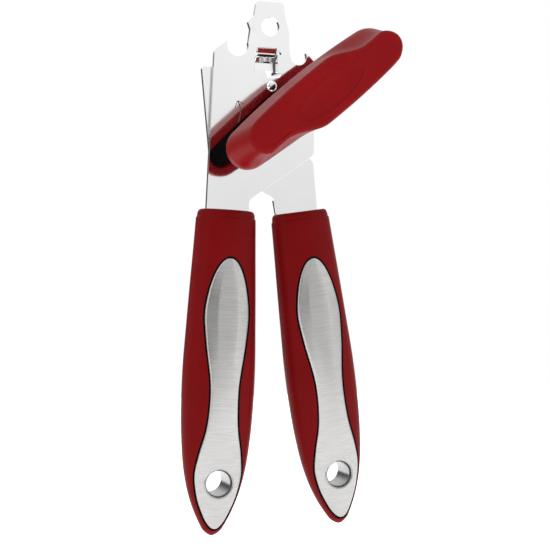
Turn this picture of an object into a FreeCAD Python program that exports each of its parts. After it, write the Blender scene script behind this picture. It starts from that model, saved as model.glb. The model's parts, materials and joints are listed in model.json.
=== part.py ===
import FreeCAD, Part
import math
import os
import Sketcher
from FreeCAD import Placement, Rotation, Vector

# Manual can opener, millimetres.
# Frame: origin at the centre of the hang hole in the front plate, half-way through the plate.
# +Z points from the handles to the head, +X to the right seen from the knob side, +Y to the back.
# The left arm holds the front plate, the knob and the feed wheel. The right arm holds the rear
# plate and the cutter wheel. The arms cross on one rivet, like pliers.

DRIVING_SIZES = (
    # plates and the pivot
    ("plate_thickness", 1.8, "thickness of each steel plate"),
    ("plate_gap", 0.3, "gap between the plates, filled by the pivot washer"),
    ("pivot_x", -3.3, "pivot rivet, across"),
    ("pivot_z", -46.8, "pivot rivet, height"),
    ("pivot_radius", 3.0, "pivot rivet shank"),
    ("pivot_head_radius", 5.2, "pivot rivet heads"),
    ("pivot_head_height", 1.1, "pivot rivet heads"),
    ("pivot_washer_radius", 6.2, "washer between the plates"),
    ("head_bevel", 1.0, "bevel around a rivet head"),
    ("head_edge", 0.3, "straight edge of a rivet head and of an eyelet flange"),
    ("running_clearance", 0.05, "radial clearance of every turning fit"),
    ("side_clearance", 0.05, "end play of every turning fit"),
    ("closed_turn", 7.0, "turn of the right arm from rest to closed, degrees"),
    ("open_turn", 38.0, "turn of the right arm from rest to fully open, degrees"),
    # front plate outline
    ("hang_hole_radius", 3.75, "hang hole"),
    ("head_top", 9.8, "top edge above the hang hole"),
    ("head_half_width", 5.6, "half width of the top edge"),
    ("head_round", 1.9, "rounding of the top corners"),
    ("neck_bend_x", 6.4, "upper bend of the neck's right edge, across"),
    ("neck_bend_height", 3.5, "upper bend of the neck's right edge"),
    ("neck_waist_x", 7.8, "lower bend of the neck's right edge, across"),
    ("neck_waist_drop", 1.2, "lower bend of the neck's right edge"),
    ("neck_half_width", 8.2, "half width of the neck"),
    ("hook_top_x", 6.6, "upper root of the small hook on the neck, across"),
    ("hook_top_height", 4.0, "upper root of the small hook on the neck"),
    ("hook_reach", 9.2, "tip of the small hook, across"),
    ("hook_height", 1.3, "tip of the small hook"),
    ("hook_root_drop", 1.5, "lower root of the small hook"),
    ("hook_round", 0.7, "rounding of the hook, the neck and the right shoulder"),
    ("neck_foot_left_x", 9.0, "foot of the neck's left edge, across"),
    ("neck_foot_right_x", 8.5, "foot of the neck's right edge, across"),
    ("horn_left_x", 17.6, "tip of the left horn, across"),
    ("horn_left_drop", 6.7, "tip of the left horn, below the hang hole"),
    ("horn_right_x", 15.3, "tip of the right horn, across"),
    ("horn_right_drop", 9.4, "tip of the right horn, below the hang hole"),
    ("shoulder_left_x", 22.8, "left shoulder, across"),
    ("shoulder_left_drop", 10.3, "left shoulder, below the hang hole"),
    ("shoulder_right_drop", 12.4, "right shoulder, below the hang hole"),
    ("plate_right_x", 18.4, "right edge of the front plate"),
    ("corner_drop", 49.5, "lower right corner of the front plate"),
    ("foot_left_x", 26.2, "left edge of the front plate at the grip"),
    ("foot_right_x", 8.8, "right edge of the front plate at the grip"),
    ("foot_drop", 68.0, "inner corner above the grip"),
    ("foot_cover", 3.0, "how far both plates reach below the top of their grips"),
    ("plate_round", 3.2, "rounding of the front plate's corners"),
    ("notch_left_x", 13.3, "left lifter notch, across"),
    ("notch_left_drop", 8.0, "left lifter notch, centre of its round end"),
    ("notch_left_radius", 4.3, "left lifter notch"),
    ("notch_right_x", 11.9, "right lifter notch, across"),
    ("notch_right_drop", 10.9, "right lifter notch, centre of its round end"),
    ("notch_right_radius", 3.4, "right lifter notch"),
    # window with its bent lip and rim guide
    ("window_x", -0.95, "window centre, across"),
    ("window_drop", 14.4, "window centre, below the hang hole"),
    ("window_width", 11.1, "window"),
    ("window_height", 10.9, "window"),
    ("window_round", 1.8, "window corners"),
    ("lip_drop", 2.0, "lip bent back from the top edge of the window"),
    ("lip_reach", 1.6, "how far the lip stands behind the plate"),
    ("lip_side_gap", 1.6, "gap on each side of the lip"),
    ("bend_root", 0.7, "how far the lip's and the guide's roots reach into the plate"),
    ("guide_thickness", 1.5, "rim guide bent back from the right edge of the window"),
    ("guide_height", 7.4, "rim guide"),
    ("guide_reach", 5.4, "how far the rim guide stands behind the plate"),
    # rear plate outline
    ("rear_top_drop", 16.6, "top edge of the rear plate"),
    ("rear_left_x", 27.3, "upper left corner of the rear plate"),
    ("rear_elbow_x", 23.7, "lower left corner of the rear plate"),
    ("rear_elbow_drop", 54.5, "lower left corner of the rear plate"),
    ("rear_nose_x", 1.4, "upper right corner of the rear plate, left of the origin"),
    ("rear_shoulder_x", 18.9, "right shoulder of the rear plate"),
    ("rear_shoulder_drop", 51.9, "right shoulder of the rear plate"),
    ("rear_foot_left_x", 3.5, "left edge of the rear plate at the grip"),
    ("rear_foot_right_x", 21.0, "right edge of the rear plate at the grip"),
    ("rear_inner_x", 2.0, "inner corner above the right grip, across"),
    ("rear_inner_drop", 66.8, "inner corner above the right grip"),
    ("rear_flank_drop", 27.1, "top of the rear plate's straight flank beside the bushing"),
    ("rear_round", 2.6, "rounding of the rear plate's lower corners"),
    ("rear_top_round", 1.2, "rounding of the rear plate's upper corners"),
    ("bushing_relief", 1.2, "gap that the rear plate keeps from the shaft bushing over its travel"),
    # stops
    ("stop_x", 0.7, "closing stop pin, across"),
    ("stop_drop", 23.1, "closing stop pin, below the hang hole"),
    ("stop_pin_radius", 1.5, "shank of both stop pins"),
    ("stop_head_radius", 2.1, "domed head of the closing stop pin"),
    ("stop_head_height", 0.9, "domed head of the closing stop pin"),
    ("stop_head_edge", 0.2, "edge of the domed head"),
    ("stop_clearance", 0.35, "clearance between a stop pin and its slot"),
    ("travel_pin_reach", 11.5, "distance of the opening stop pin from the pivot"),
    ("travel_pin_angle", 186.0, "direction of the opening stop pin from the pivot, degrees"),
    # drive
    ("shaft_x", 9.4, "drive shaft, across"),
    ("shaft_drop", 29.6, "drive shaft, below the hang hole"),
    ("shaft_radius", 2.9, "drive shaft in its bushing"),
    ("shaft_tail_radius", 2.2, "drive shaft in the feed wheel"),
    ("bushing_wall", 1.3, "bushing wall"),
    ("bushing_flange_radius", 6.0, "bushing flange"),
    ("bushing_flange", 1.0, "bushing flange thickness"),
    ("spring_washer_radius", 5.8, "spring washer"),
    ("spring_washer_thickness", 0.9, "spring washer"),
    ("feed_radius", 6.2, "feed wheel over its teeth"),
    ("feed_thickness", 2.2, "feed wheel"),
    ("feed_tooth_depth", 0.7, "feed wheel teeth"),
    ("feed_nut_flats", 6.4, "nut on the drive shaft, across flats"),
    ("feed_nut_thickness", 1.8, "nut on the drive shaft"),
    ("shaft_end", 0.6, "shaft standing out of its nut"),
    # cutter
    ("cutter_radius", 9.2, "cutter wheel"),
    ("wheel_overlap", 1.4, "how far the closed cutter passes behind the feed wheel"),
    ("cutter_thickness", 1.5, "cutter blade"),
    ("cutter_hub_radius", 4.6, "cutter hub"),
    ("cutter_bevel", 2.6, "width of the ground bevel"),
    ("cutter_edge", 0.1, "thickness of the cutting edge"),
    ("blade_clearance", 0.25, "gap between the blade and the feed wheel's back"),
    ("stud_radius", 2.5, "cutter stud"),
    ("stud_head_radius", 4.2, "cutter stud head"),
    ("stud_head_height", 1.1, "cutter stud head"),
    ("cutter_washer_thickness", 0.4, "washer under the cutter hub"),
    # knob
    ("knob_angle", 39.2, "direction of the knob's long axis, degrees above +X"),
    ("knob_half_length", 39.8, "knob at its base"),
    ("knob_half_width", 9.7, "knob at its middle"),
    ("knob_end_radius", 8.0, "round ends of the knob"),
    ("knob_height", 22.0, "knob from base rim to top"),
    ("knob_lift", 15.9, "base rim of the knob in front of the front plate's middle"),
    ("knob_end_rise", 3.0, "straight part of the ends above the base rim"),
    ("knob_end_slope", 3.8, "how far the ends lean in towards the top"),
    ("knob_round", 2.4, "rounding of the knob's top edge"),
    ("knob_wall", 3.2, "rim around the hollow underside"),
    ("knob_hollow", 9.0, "depth of the hollow underside"),
    ("scoop_offset_u", 20.0, "finger scoop centre along the knob"),
    ("scoop_offset_v", 17.6, "finger scoop centre beside the knob"),
    ("scoop_length", 25.0, "finger scoop semi-axis along the knob"),
    ("scoop_width", 12.0, "finger scoop semi-axis across the knob"),
    ("scoop_depth", 20.0, "finger scoop semi-axis along the shaft"),
    ("dish_drop", 1.2, "thumb dish centre beside the knob's middle, on its lower side"),
    ("dish_length", 18.2, "dish in the knob's top, semi-axis along the knob"),
    ("dish_width", 5.9, "dish in the knob's top, semi-axis across the knob"),
    ("dish_depth", 1.1, "dish in the knob's top"),
    ("liner_gap", 0.1, "gap between the liner and the knob's rim"),
    ("liner_thickness", 1.6, "black liner inside the knob"),
    ("hub_radius", 6.3, "black hub of the knob"),
    ("hub_socket", 12.0, "how far the shaft reaches into the hub"),
    # grips
    ("grip_length", 125.4, "grip"),
    ("grip_half_width", 14.4, "grip at its widest"),
    ("grip_half_depth", 9.4, "grip at its thickest"),
    ("grip_collar", 1.6, "chamfer around the top of a grip"),
    ("left_grip_x", -17.4, "top of the left grip"),
    ("right_grip_x", 12.9, "top of the right grip"),
    ("grip_drop", 71.9, "top of both grips below the hang hole"),
    ("left_lean", 2.8, "lean of the left grip, degrees"),
    ("right_lean", 7.9, "lean of the right grip, degrees"),
    ("grip_wall", 3.0, "soft wall over the core"),
    ("core_margin", 9.0, "core stops this far from both ends of the grip"),
    ("tang_half_width", 6.0, "tang inside the grip"),
    ("tang_length", 86.0, "tang inside the grip"),
    ("tang_root", 4.0, "tang's overlap with the plate above the grip"),
    ("tang_pin_radius", 2.0, "pins through core and tang"),
    ("tang_pin_cover", 5.0, "pin ends below the grip's thickest level"),
    ("tang_pin_first", 22.0, "first pin below the top of the grip"),
    ("tang_pin_second", 74.0, "second pin below the top of the grip"),
    # inlays and eyelets
    ("inlay_start", 18.6, "top of the inlay below the top of the grip"),
    ("inlay_end_margin", 3.0, "bottom of the inlay above the tip of the grip"),
    ("inlay_thickness", 1.0, "inlay sheet"),
    ("inlay_proud", 0.15, "how far the inlay stands above the grip"),
    ("inlay_groove", 0.7, "dark groove around the inlay"),
    ("inlay_upper_half", 8.8, "half width of the inlay's upper lobe"),
    ("inlay_waist_half", 5.6, "half width of the inlay's waist"),
    ("inlay_lower_half", 9.3, "half width of the inlay's lower lobe"),
    ("eyelet_share", 0.8341, "eyelet's place, as a share of the grip's length"),
    ("eyelet_bore", 4.75, "eyelet bore radius"),
    ("eyelet_wall", 0.8, "eyelet tube wall"),
    ("eyelet_flange_radius", 6.6, "eyelet flange"),
    ("eyelet_flange", 0.8, "eyelet flange thickness"),
    ("eyelet_sink", 2.3, "eyelet's flange face below the grip's thickest level"),
)

FEED_TEETH = 22
TOOTH_GAP_SHARE = 0.8
CUT_MARGIN = 2.0
NEAR = 0.05

# Share of the grip's length, of its half width and of its half depth, from the top to the tip.
GRIP_PROFILE = (
    (0.00, 0.815, 0.80),
    (0.12, 0.860, 0.87),
    (0.24, 0.910, 0.94),
    (0.36, 0.955, 0.985),
    (0.48, 0.995, 1.00),
    (0.60, 0.990, 0.98),
    (0.71, 0.940, 0.91),
    (0.80, 0.845, 0.80),
    (0.87, 0.700, 0.69),
    (0.925, 0.520, 0.57),
    (0.968, 0.330, 0.42),
    (1.00, 0.165, 0.21),
)
SIDE_ROUND_SHARE = 0.8

document = FreeCAD.newDocument("can_opener")
sheet = document.addObject("Spreadsheet::Sheet", "Sheet")
for row, (alias, number, meaning) in enumerate(DRIVING_SIZES, start=1):
    sheet.set(f"A{row}", meaning)
    sheet.set(f"B{row}", str(number))
    sheet.setAlias(f"B{row}", alias)
document.recompute()


class Size:
    """A length or an angle: its value now, and the formula that ties it to the spreadsheet."""

    def __init__(self, value, formula):
        self.value = value
        self.formula = formula

    def __add__(self, other):
        other = as_size(other)
        return Size(self.value + other.value, f"({self.formula} + {other.formula})")

    def __sub__(self, other):
        other = as_size(other)
        return Size(self.value - other.value, f"({self.formula} - {other.formula})")

    def __mul__(self, other):
        other = as_size(other)
        return Size(self.value * other.value, f"({self.formula} * {other.formula})")

    def __truediv__(self, other):
        other = as_size(other)
        return Size(self.value / other.value, f"({self.formula} / {other.formula})")

    def __radd__(self, other):
        return as_size(other) + self

    def __rsub__(self, other):
        return as_size(other) - self

    def __rmul__(self, other):
        return as_size(other) * self

    def __neg__(self):
        return Size(-self.value, f"(-1 * {self.formula})")


def as_size(number):
    return number if isinstance(number, Size) else Size(float(number), repr(float(number)))


def sine(angle):
    angle = as_size(angle)
    return Size(math.sin(math.radians(angle.value)), f"sin({angle.formula})")


def cosine(angle):
    angle = as_size(angle)
    return Size(math.cos(math.radians(angle.value)), f"cos({angle.formula})")


def root(size):
    return Size(math.sqrt(size.value), f"sqrt({size.formula})")


def bearing(x, z):
    """Direction of the point (x, z) as an angle in degrees from +X."""
    return Size(math.degrees(math.atan2(z.value, x.value)), f"(atan2({z.formula}; {x.formula}) / 1 deg)")


class Sizes:
    """The spreadsheet's driving sizes, read by name."""

    def __getattr__(self, alias):
        return Size(float(sheet.get(alias)), f"Sheet.{alias}")


D = Sizes()

# Depths, from the front to the back.
FRONT_FACE = -D.plate_thickness / 2
FRONT_BACK = D.plate_thickness / 2
REAR_FACE = FRONT_BACK + D.plate_gap
REAR_BACK = REAR_FACE + D.plate_thickness
BUSHING_BACK = REAR_BACK + D.plate_gap
FEED_FACE = BUSHING_BACK + D.side_clearance
FEED_BACK = FEED_FACE + D.feed_thickness
BLADE_FACE = FEED_BACK + D.blade_clearance
BLADE_BACK = BLADE_FACE + D.cutter_thickness
HUB_FACE = REAR_BACK + D.cutter_washer_thickness + D.side_clearance
GRIP_CENTRE_Y = (FRONT_FACE + REAR_BACK) / 2

EYELET_STATION = D.grip_length * D.eyelet_share
EYELET_HALF_LENGTH = D.grip_half_depth - D.eyelet_sink

PIVOT = (D.pivot_x, D.pivot_z)
SHAFT = (D.shaft_x, -D.shaft_drop)
STOP = (D.stop_x, -D.stop_drop)


def turned_about_pivot(point, angle):
    """The point (x, z) turned about the pivot, counter-clockwise seen from the knob side."""
    x = point[0] - D.pivot_x
    z = point[1] - D.pivot_z
    return (D.pivot_x + x * cosine(angle) - z * sine(angle),
            D.pivot_z + x * sine(angle) + z * cosine(angle))


CUTTER_CLOSED = (D.shaft_x - D.feed_radius - D.cutter_radius + D.wheel_overlap, -D.shaft_drop)
CUTTER = turned_about_pivot(CUTTER_CLOSED, D.closed_turn)
TRAVEL_PIN = (D.pivot_x + D.travel_pin_reach * cosine(D.travel_pin_angle),
              D.pivot_z + D.travel_pin_reach * sine(D.travel_pin_angle))

LEFT_GRIP = (D.left_grip_x, -D.grip_drop, D.left_lean)
RIGHT_GRIP = (D.right_grip_x, -D.grip_drop, -D.right_lean)

parts = {}


def bind(obj, path, size):
    obj.setExpression(path, as_size(size).formula)


def place(obj, x, y, z):
    for axis, size in zip("xyz", (x, y, z)):
        bind(obj, f"Placement.Base.{axis}", size)


def new_body(name):
    body = document.addObject("PartDesign::Body", name)
    body.Label = name
    parts[name] = body
    return body


def origin_plane(body, role):
    return next(plane for plane in body.Origin.OriginFeatures if plane.Role == role)


def new_sketch(body, name, role, depth=None):
    """A sketch on one of the body's own planes, moved back to the given depth along +Y."""
    sketch = body.newObject("Sketcher::SketchObject", name)
    sketch.AttachmentSupport = [(origin_plane(body, role), "")]
    sketch.MapMode = "FlatFace"
    if depth is not None:
        bind(sketch, "AttachmentOffset.Base.z", -as_size(depth))
    return sketch


def pin_coordinate(sketch, kind, geometry, end, size):
    size = as_size(size)
    index = sketch.addConstraint(Sketcher.Constraint(kind, -1, 1, geometry, end, size.value))
    bind(sketch, f"Constraints[{index}]", size)


def pin_point(sketch, geometry, end, x, y):
    """Ties one point of the sketch to its two coordinates."""
    pin_coordinate(sketch, "DistanceX", geometry, end, x)
    pin_coordinate(sketch, "DistanceY", geometry, end, y)


def draw_polygon(sketch, corners):
    corners = [(as_size(x), as_size(y)) for x, y in corners]
    count = len(corners)
    spots = [Vector(x.value, y.value, 0) for x, y in corners]
    first = sketch.GeometryCount
    for i in range(count):
        sketch.addGeometry(Part.LineSegment(spots[i], spots[(i + 1) % count]))
    for i in range(count):
        following = first + (i + 1) % count
        sketch.addConstraint(Sketcher.Constraint("Coincident", first + i, 2, following, 1))
    for i, (x, y) in enumerate(corners):
        pin_point(sketch, first + i, 1, x, y)


def draw_box(sketch, left, bottom, width, height):
    draw_polygon(sketch, [(left, bottom), (left + width, bottom),
                          (left + width, bottom + height), (left, bottom + height)])


def draw_circle(sketch, centre, radius):
    x, y = as_size(centre[0]), as_size(centre[1])
    radius = as_size(radius)
    circle = Part.Circle(Vector(x.value, y.value, 0), Vector(0, 0, 1), radius.value)
    index = sketch.addGeometry(circle)
    pin_point(sketch, index, 3, x, y)
    limit = sketch.addConstraint(Sketcher.Constraint("Radius", index, radius.value))
    bind(sketch, f"Constraints[{limit}]", radius)


def pad(body, sketch, length, backwards=True):
    """Pads the sketch by length, towards +Y unless backwards is False."""
    feature = body.newObject("PartDesign::Pad", sketch.Name + "_pad")
    feature.Profile = sketch
    feature.Reversed = backwards
    bind(feature, "Length", length)
    document.recompute()
    return feature


def cut_through(body, sketch):
    """Cuts the sketch through the whole body, both ways, and checks that it took material."""
    before = body.Shape.Volume
    feature = body.newObject("PartDesign::Pocket", sketch.Name + "_cut")
    feature.Profile = sketch
    feature.Type = "ThroughAll"
    feature.Midplane = True
    document.recompute()
    if body.Shape.Volume >= before:
        raise RuntimeError(f"{sketch.Name} cut nothing")
    return feature


def cut_depth(body, sketch, depth):
    """Cuts the sketch towards -Y to the given depth and checks that it took material."""
    before = body.Shape.Volume
    feature = body.newObject("PartDesign::Pocket", sketch.Name + "_cut")
    feature.Profile = sketch
    feature.Reversed = True
    bind(feature, "Length", depth)
    document.recompute()
    if body.Shape.Volume >= before:
        raise RuntimeError(f"{sketch.Name} cut nothing")


def round_corners(body, corners, radius):
    """Rounds the plate's through-thickness edges that stand on the given (x, z) corners."""
    names = []
    for number, edge in enumerate(body.Shape.Edges, start=1):
        ends = [vertex.Point for vertex in edge.Vertexes]
        if len(ends) != 2 or math.hypot(ends[0].x - ends[1].x, ends[0].z - ends[1].z) > NEAR:
            continue
        for x, z in corners:
            if math.hypot(ends[0].x - as_size(x).value, ends[0].z - as_size(z).value) < NEAR:
                names.append(f"Edge{number}")
    round_edges(body, "corner_rounds", names, radius)


def round_edges(body, name, edges, radius):
    base = body.Tip
    fillet = body.newObject("PartDesign::Fillet", name)
    fillet.Base = (base, edges)
    bind(fillet, "Radius", radius)
    document.recompute()


def turned(name, profile, centre):
    """A body turned about an axis along Y through centre; the profile is (radius, depth) points."""
    body = new_body(name)
    sketch = new_sketch(body, name + "_profile", "XY_Plane")
    draw_polygon(sketch, profile)
    revolution = body.newObject("PartDesign::Revolution", name + "_turn")
    revolution.Profile = sketch
    revolution.ReferenceAxis = (sketch, ["V_Axis"])
    revolution.Angle = 360
    place(body, centre[0], 0, centre[1])
    return body


def ring_profile(inner, outer, face, back):
    return [(inner, face), (outer, face), (outer, back), (inner, back)]


def rivet_head(radius, seat, crown, edge):
    """Half of a bevelled head's outline, from its seat to its crown; edge is signed along Y."""
    return [(radius, seat), (radius, seat + edge), (radius - D.head_bevel, crown)]


def draw_arc_slot(sketch, start, end, reach, half_width):
    """A closed slot that follows a circle about the pivot from one direction to another."""
    start, end = as_size(start), as_size(end)
    pivot = Vector(D.pivot_x.value, D.pivot_z.value, 0)
    up = Vector(0, 0, 1)
    from_angle, to_angle = math.radians(start.value), math.radians(end.value)
    caps = []
    for angle in (start, end):
        caps.append((D.pivot_x + reach * cosine(angle), D.pivot_z + reach * sine(angle)))
    outer = sketch.addGeometry(Part.ArcOfCircle(
        Part.Circle(pivot, up, (reach + half_width).value), from_angle, to_angle))
    inner = sketch.addGeometry(Part.ArcOfCircle(
        Part.Circle(pivot, up, (reach - half_width).value), from_angle, to_angle))
    first_cap = sketch.addGeometry(Part.ArcOfCircle(
        Part.Circle(Vector(caps[0][0].value, caps[0][1].value, 0), up, half_width.value),
        from_angle - math.pi, from_angle))
    last_cap = sketch.addGeometry(Part.ArcOfCircle(
        Part.Circle(Vector(caps[1][0].value, caps[1][1].value, 0), up, half_width.value),
        to_angle, to_angle + math.pi))
    sketch.addConstraint(Sketcher.Constraint("Coincident", outer, 3, inner, 3))
    for one, one_end, other, other_end in ((outer, 1, first_cap, 2), (first_cap, 1, inner, 1),
                                           (outer, 2, last_cap, 1), (last_cap, 2, inner, 2)):
        sketch.addConstraint(Sketcher.Constraint("Tangent", one, one_end, other, other_end))
    pin_point(sketch, outer, 3, D.pivot_x, D.pivot_z)
    pin_point(sketch, first_cap, 3, *caps[0])
    # The tangents hold the last cap on its circle, so one more coordinate places it.
    if abs(math.sin(to_angle)) > abs(math.cos(to_angle)):
        pin_coordinate(sketch, "DistanceX", last_cap, 3, caps[1][0])
    else:
        pin_coordinate(sketch, "DistanceY", last_cap, 3, caps[1][1])
    limit = sketch.addConstraint(Sketcher.Constraint("Radius", first_cap, half_width.value))
    bind(sketch, f"Constraints[{limit}]", half_width)


# ---- front plate -------------------------------------------------------------------------

def tang_pad(body, name, grip, face):
    """The narrow tang inside the grip, along the grip's leaning axis."""
    x, z, lean = grip
    sketch = new_sketch(body, name, "XZ_Plane", face)

    def along(across, down):
        return (x + across * cosine(lean) - down * sine(lean),
                z - across * sine(lean) - down * cosine(lean))

    half = D.tang_half_width
    draw_polygon(sketch, [along(-half, -D.tang_root), along(half, -D.tang_root),
                          along(half, D.tang_length), along(-half, D.tang_length)])
    pad(body, sketch, D.plate_thickness)


def tang_holes(sketch, grip):
    x, z, lean = grip
    for down in (D.tang_pin_first, D.tang_pin_second):
        draw_circle(sketch, (x - down * sine(lean), z - down * cosine(lean)), D.tang_pin_radius)


def make_front_plate():
    body = new_body("front_plate")
    foot_z = -(D.grip_drop + D.foot_cover)
    outline = new_sketch(body, "front_outline", "XZ_Plane", FRONT_FACE)
    head = [(-D.head_half_width, D.head_top), (D.head_half_width, D.head_top)]
    neck_right = [(D.neck_bend_x, D.neck_bend_height), (D.neck_waist_x, -D.neck_waist_drop)]
    notch_side = [(D.neck_half_width, -D.shoulder_left_drop), (D.neck_foot_right_x, -D.notch_right_drop)]
    horn_right = (D.horn_right_x, -D.horn_right_drop)
    shoulder_right = (D.plate_right_x, -D.shoulder_right_drop)
    corner = (D.plate_right_x, -D.corner_drop)
    inner_foot = (-D.foot_right_x, -D.foot_drop)
    foot = [(-D.foot_right_x, foot_z), (-D.foot_left_x, foot_z)]
    shoulder_left = (-D.shoulder_left_x, -D.shoulder_left_drop)
    horn_left = (-D.horn_left_x, -D.horn_left_drop)
    neck_left = [(-D.neck_foot_left_x, -D.horn_left_drop), (-D.neck_half_width, -D.hook_root_drop)]
    hook = [(-D.hook_reach, D.hook_height), (-D.hook_top_x, D.hook_top_height)]
    draw_polygon(outline, head + neck_right + notch_side
                 + [horn_right, shoulder_right, corner, inner_foot] + foot
                 + [shoulder_left, horn_left] + neck_left + hook)
    pad(body, outline, D.plate_thickness)
    round_corners(body, [corner, inner_foot, shoulder_left], D.plate_round)
    round_corners(body, head, D.head_round)
    round_corners(body, hook + neck_right + [shoulder_right], D.hook_round)

    notches = new_sketch(body, "lifter_notches", "XZ_Plane")
    draw_circle(notches, (-D.notch_left_x, -D.notch_left_drop), D.notch_left_radius)
    cut_through(body, notches)
    right_notch = new_sketch(body, "lifter_notch_right", "XZ_Plane")
    draw_circle(right_notch, (D.notch_right_x, -D.notch_right_drop), D.notch_right_radius)
    cut_through(body, right_notch)

    window = new_sketch(body, "window", "XZ_Plane")
    left = D.window_x - D.window_width / 2
    bottom = -D.window_drop - D.window_height / 2
    draw_box(window, left, bottom, D.window_width, D.window_height)
    cut_through(body, window)
    right = left + D.window_width
    top = bottom + D.window_height
    round_corners(body, [(left, bottom), (right, bottom), (left, top), (right, top)], D.window_round)

    lip = new_sketch(body, "window_lip", "XZ_Plane", FRONT_FACE)
    draw_box(lip, left + D.lip_side_gap, top - D.lip_drop,
             D.window_width - 2 * D.lip_side_gap, D.lip_drop + D.bend_root)
    pad(body, lip, D.plate_thickness + D.lip_reach)
    guide = new_sketch(body, "rim_guide", "XZ_Plane", FRONT_FACE)
    draw_box(guide, right - D.guide_thickness, -D.window_drop - D.guide_height / 2,
             D.guide_thickness + D.bend_root, D.guide_height)
    pad(body, guide, D.plate_thickness + D.guide_reach)

    tang_pad(body, "left_tang", LEFT_GRIP, FRONT_FACE)
    holes = new_sketch(body, "front_holes", "XZ_Plane")
    draw_circle(holes, (0, 0), D.hang_hole_radius)
    draw_circle(holes, PIVOT, D.pivot_radius)
    draw_circle(holes, SHAFT, D.shaft_radius + D.running_clearance + D.bushing_wall)
    draw_circle(holes, STOP, D.stop_pin_radius)
    draw_circle(holes, TRAVEL_PIN, D.stop_pin_radius)
    tang_holes(holes, LEFT_GRIP)
    cut_through(body, holes)


# ---- rear plate --------------------------------------------------------------------------

def make_rear_plate():
    body = new_body("rear_plate")
    foot_z = -(D.grip_drop + D.foot_cover)
    outline = new_sketch(body, "rear_outline", "XZ_Plane", REAR_FACE)
    top_left = (-D.rear_left_x, -D.rear_top_drop)
    top_right = (-D.rear_nose_x, -D.rear_top_drop)
    shoulder = (D.rear_shoulder_x, -D.rear_shoulder_drop)
    inner_foot = (D.rear_inner_x, -D.rear_inner_drop)
    elbow = (-D.rear_elbow_x, -D.rear_elbow_drop)
    sleeve = D.shaft_radius + D.running_clearance + D.bushing_wall
    shaft_x, shaft_z = SHAFT[0] - D.pivot_x, SHAFT[1] - D.pivot_z
    shaft_reach = root(shaft_x * shaft_x + shaft_z * shaft_z)
    shaft_closed = bearing(shaft_x, shaft_z) + D.closed_turn
    flank = shaft_reach * cosine(shaft_closed) - sleeve - D.bushing_relief
    relief = shaft_reach - sleeve - D.bushing_relief
    flank_foot_z = D.pivot_z + root(relief * relief - flank * flank)
    flank_x = D.pivot_x + flank
    draw_polygon(outline, [
        top_left, top_right, (flank_x, -D.rear_flank_drop), (flank_x, flank_foot_z),
        (D.pivot_x + relief, D.pivot_z), shoulder,
        (D.rear_foot_right_x, foot_z), (D.rear_foot_left_x, foot_z), inner_foot, elbow])
    pad(body, outline, D.plate_thickness)
    round_corners(body, [shoulder, elbow, inner_foot], D.rear_round)
    round_corners(body, [top_left, top_right], D.rear_top_round)

    stop = new_sketch(body, "closing_stop_slot", "XZ_Plane")
    stop_x, stop_z = STOP[0] - D.pivot_x, STOP[1] - D.pivot_z
    stop_reach = root(stop_x * stop_x + stop_z * stop_z)
    stop_angle = bearing(stop_x, stop_z)
    draw_arc_slot(stop, stop_angle - D.open_turn, stop_angle + D.closed_turn, stop_reach,
                  D.stop_pin_radius + D.stop_clearance)
    cut_through(body, stop)

    travel = new_sketch(body, "opening_stop_slot", "XZ_Plane")
    draw_arc_slot(travel, D.travel_pin_angle - D.open_turn, D.travel_pin_angle + D.closed_turn,
                  D.travel_pin_reach, D.stop_pin_radius + D.stop_clearance)
    cut_through(body, travel)

    tang_pad(body, "right_tang", RIGHT_GRIP, REAR_FACE)
    holes = new_sketch(body, "rear_holes", "XZ_Plane")
    draw_circle(holes, PIVOT, D.pivot_radius + D.running_clearance)
    draw_circle(holes, CUTTER, D.stud_radius)
    tang_holes(holes, RIGHT_GRIP)
    cut_through(body, holes)


# ---- rivets, washers, bushing, drive and cutter ------------------------------------------

def make_pivot():
    head = D.pivot_head_radius
    shank = D.pivot_radius
    front = FRONT_FACE - D.pivot_head_height
    seat = REAR_BACK + D.side_clearance
    back = seat + D.pivot_head_height
    front_head = rivet_head(head, FRONT_FACE, front, -D.head_edge)
    back_head = rivet_head(head, seat, back, D.head_edge)
    turned("pivot_rivet", [(0, front)] + front_head[::-1] + [(shank, FRONT_FACE), (shank, seat)]
           + back_head + [(0, back)], PIVOT)
    turned("pivot_washer", ring_profile(shank + D.running_clearance, D.pivot_washer_radius,
                                        FRONT_BACK, REAR_FACE), PIVOT)


def make_stops():
    head = D.stop_head_radius
    shank = D.stop_pin_radius
    crown = FRONT_FACE - D.stop_head_height
    edge = D.stop_head_edge
    turned("closing_stop_pin", [(0, crown), (head / 2, crown + edge), (head, FRONT_FACE - edge),
                                (head, FRONT_FACE), (shank, FRONT_FACE), (shank, REAR_BACK),
                                (0, REAR_BACK)], STOP)
    turned("opening_stop_pin", [(0, FRONT_FACE), (shank, FRONT_FACE), (shank, REAR_BACK),
                                (0, REAR_BACK)], TRAVEL_PIN)


def make_drive():
    bore = D.shaft_radius + D.running_clearance
    sleeve = bore + D.bushing_wall
    flange_face = FRONT_FACE - D.bushing_flange
    turned("shaft_bushing", [(bore, flange_face), (D.bushing_flange_radius, flange_face),
                             (D.bushing_flange_radius, FRONT_FACE), (sleeve, FRONT_FACE),
                             (sleeve, BUSHING_BACK), (bore, BUSHING_BACK)], SHAFT)
    washer_back = flange_face - D.side_clearance
    hub_back = washer_back - D.spring_washer_thickness
    turned("spring_washer", ring_profile(bore, D.spring_washer_radius, hub_back, washer_back), SHAFT)
    shaft_front = hub_back - D.hub_socket
    shaft_back = FEED_BACK + D.feed_nut_thickness + D.shaft_end
    turned("drive_shaft", [(0, shaft_front), (D.shaft_radius, shaft_front), (D.shaft_radius, FEED_FACE),
                           (D.shaft_tail_radius, FEED_FACE), (D.shaft_tail_radius, shaft_back),
                           (0, shaft_back)], SHAFT)
    make_feed_wheel()
    make_feed_nut()
    make_knob(hub_back)


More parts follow.
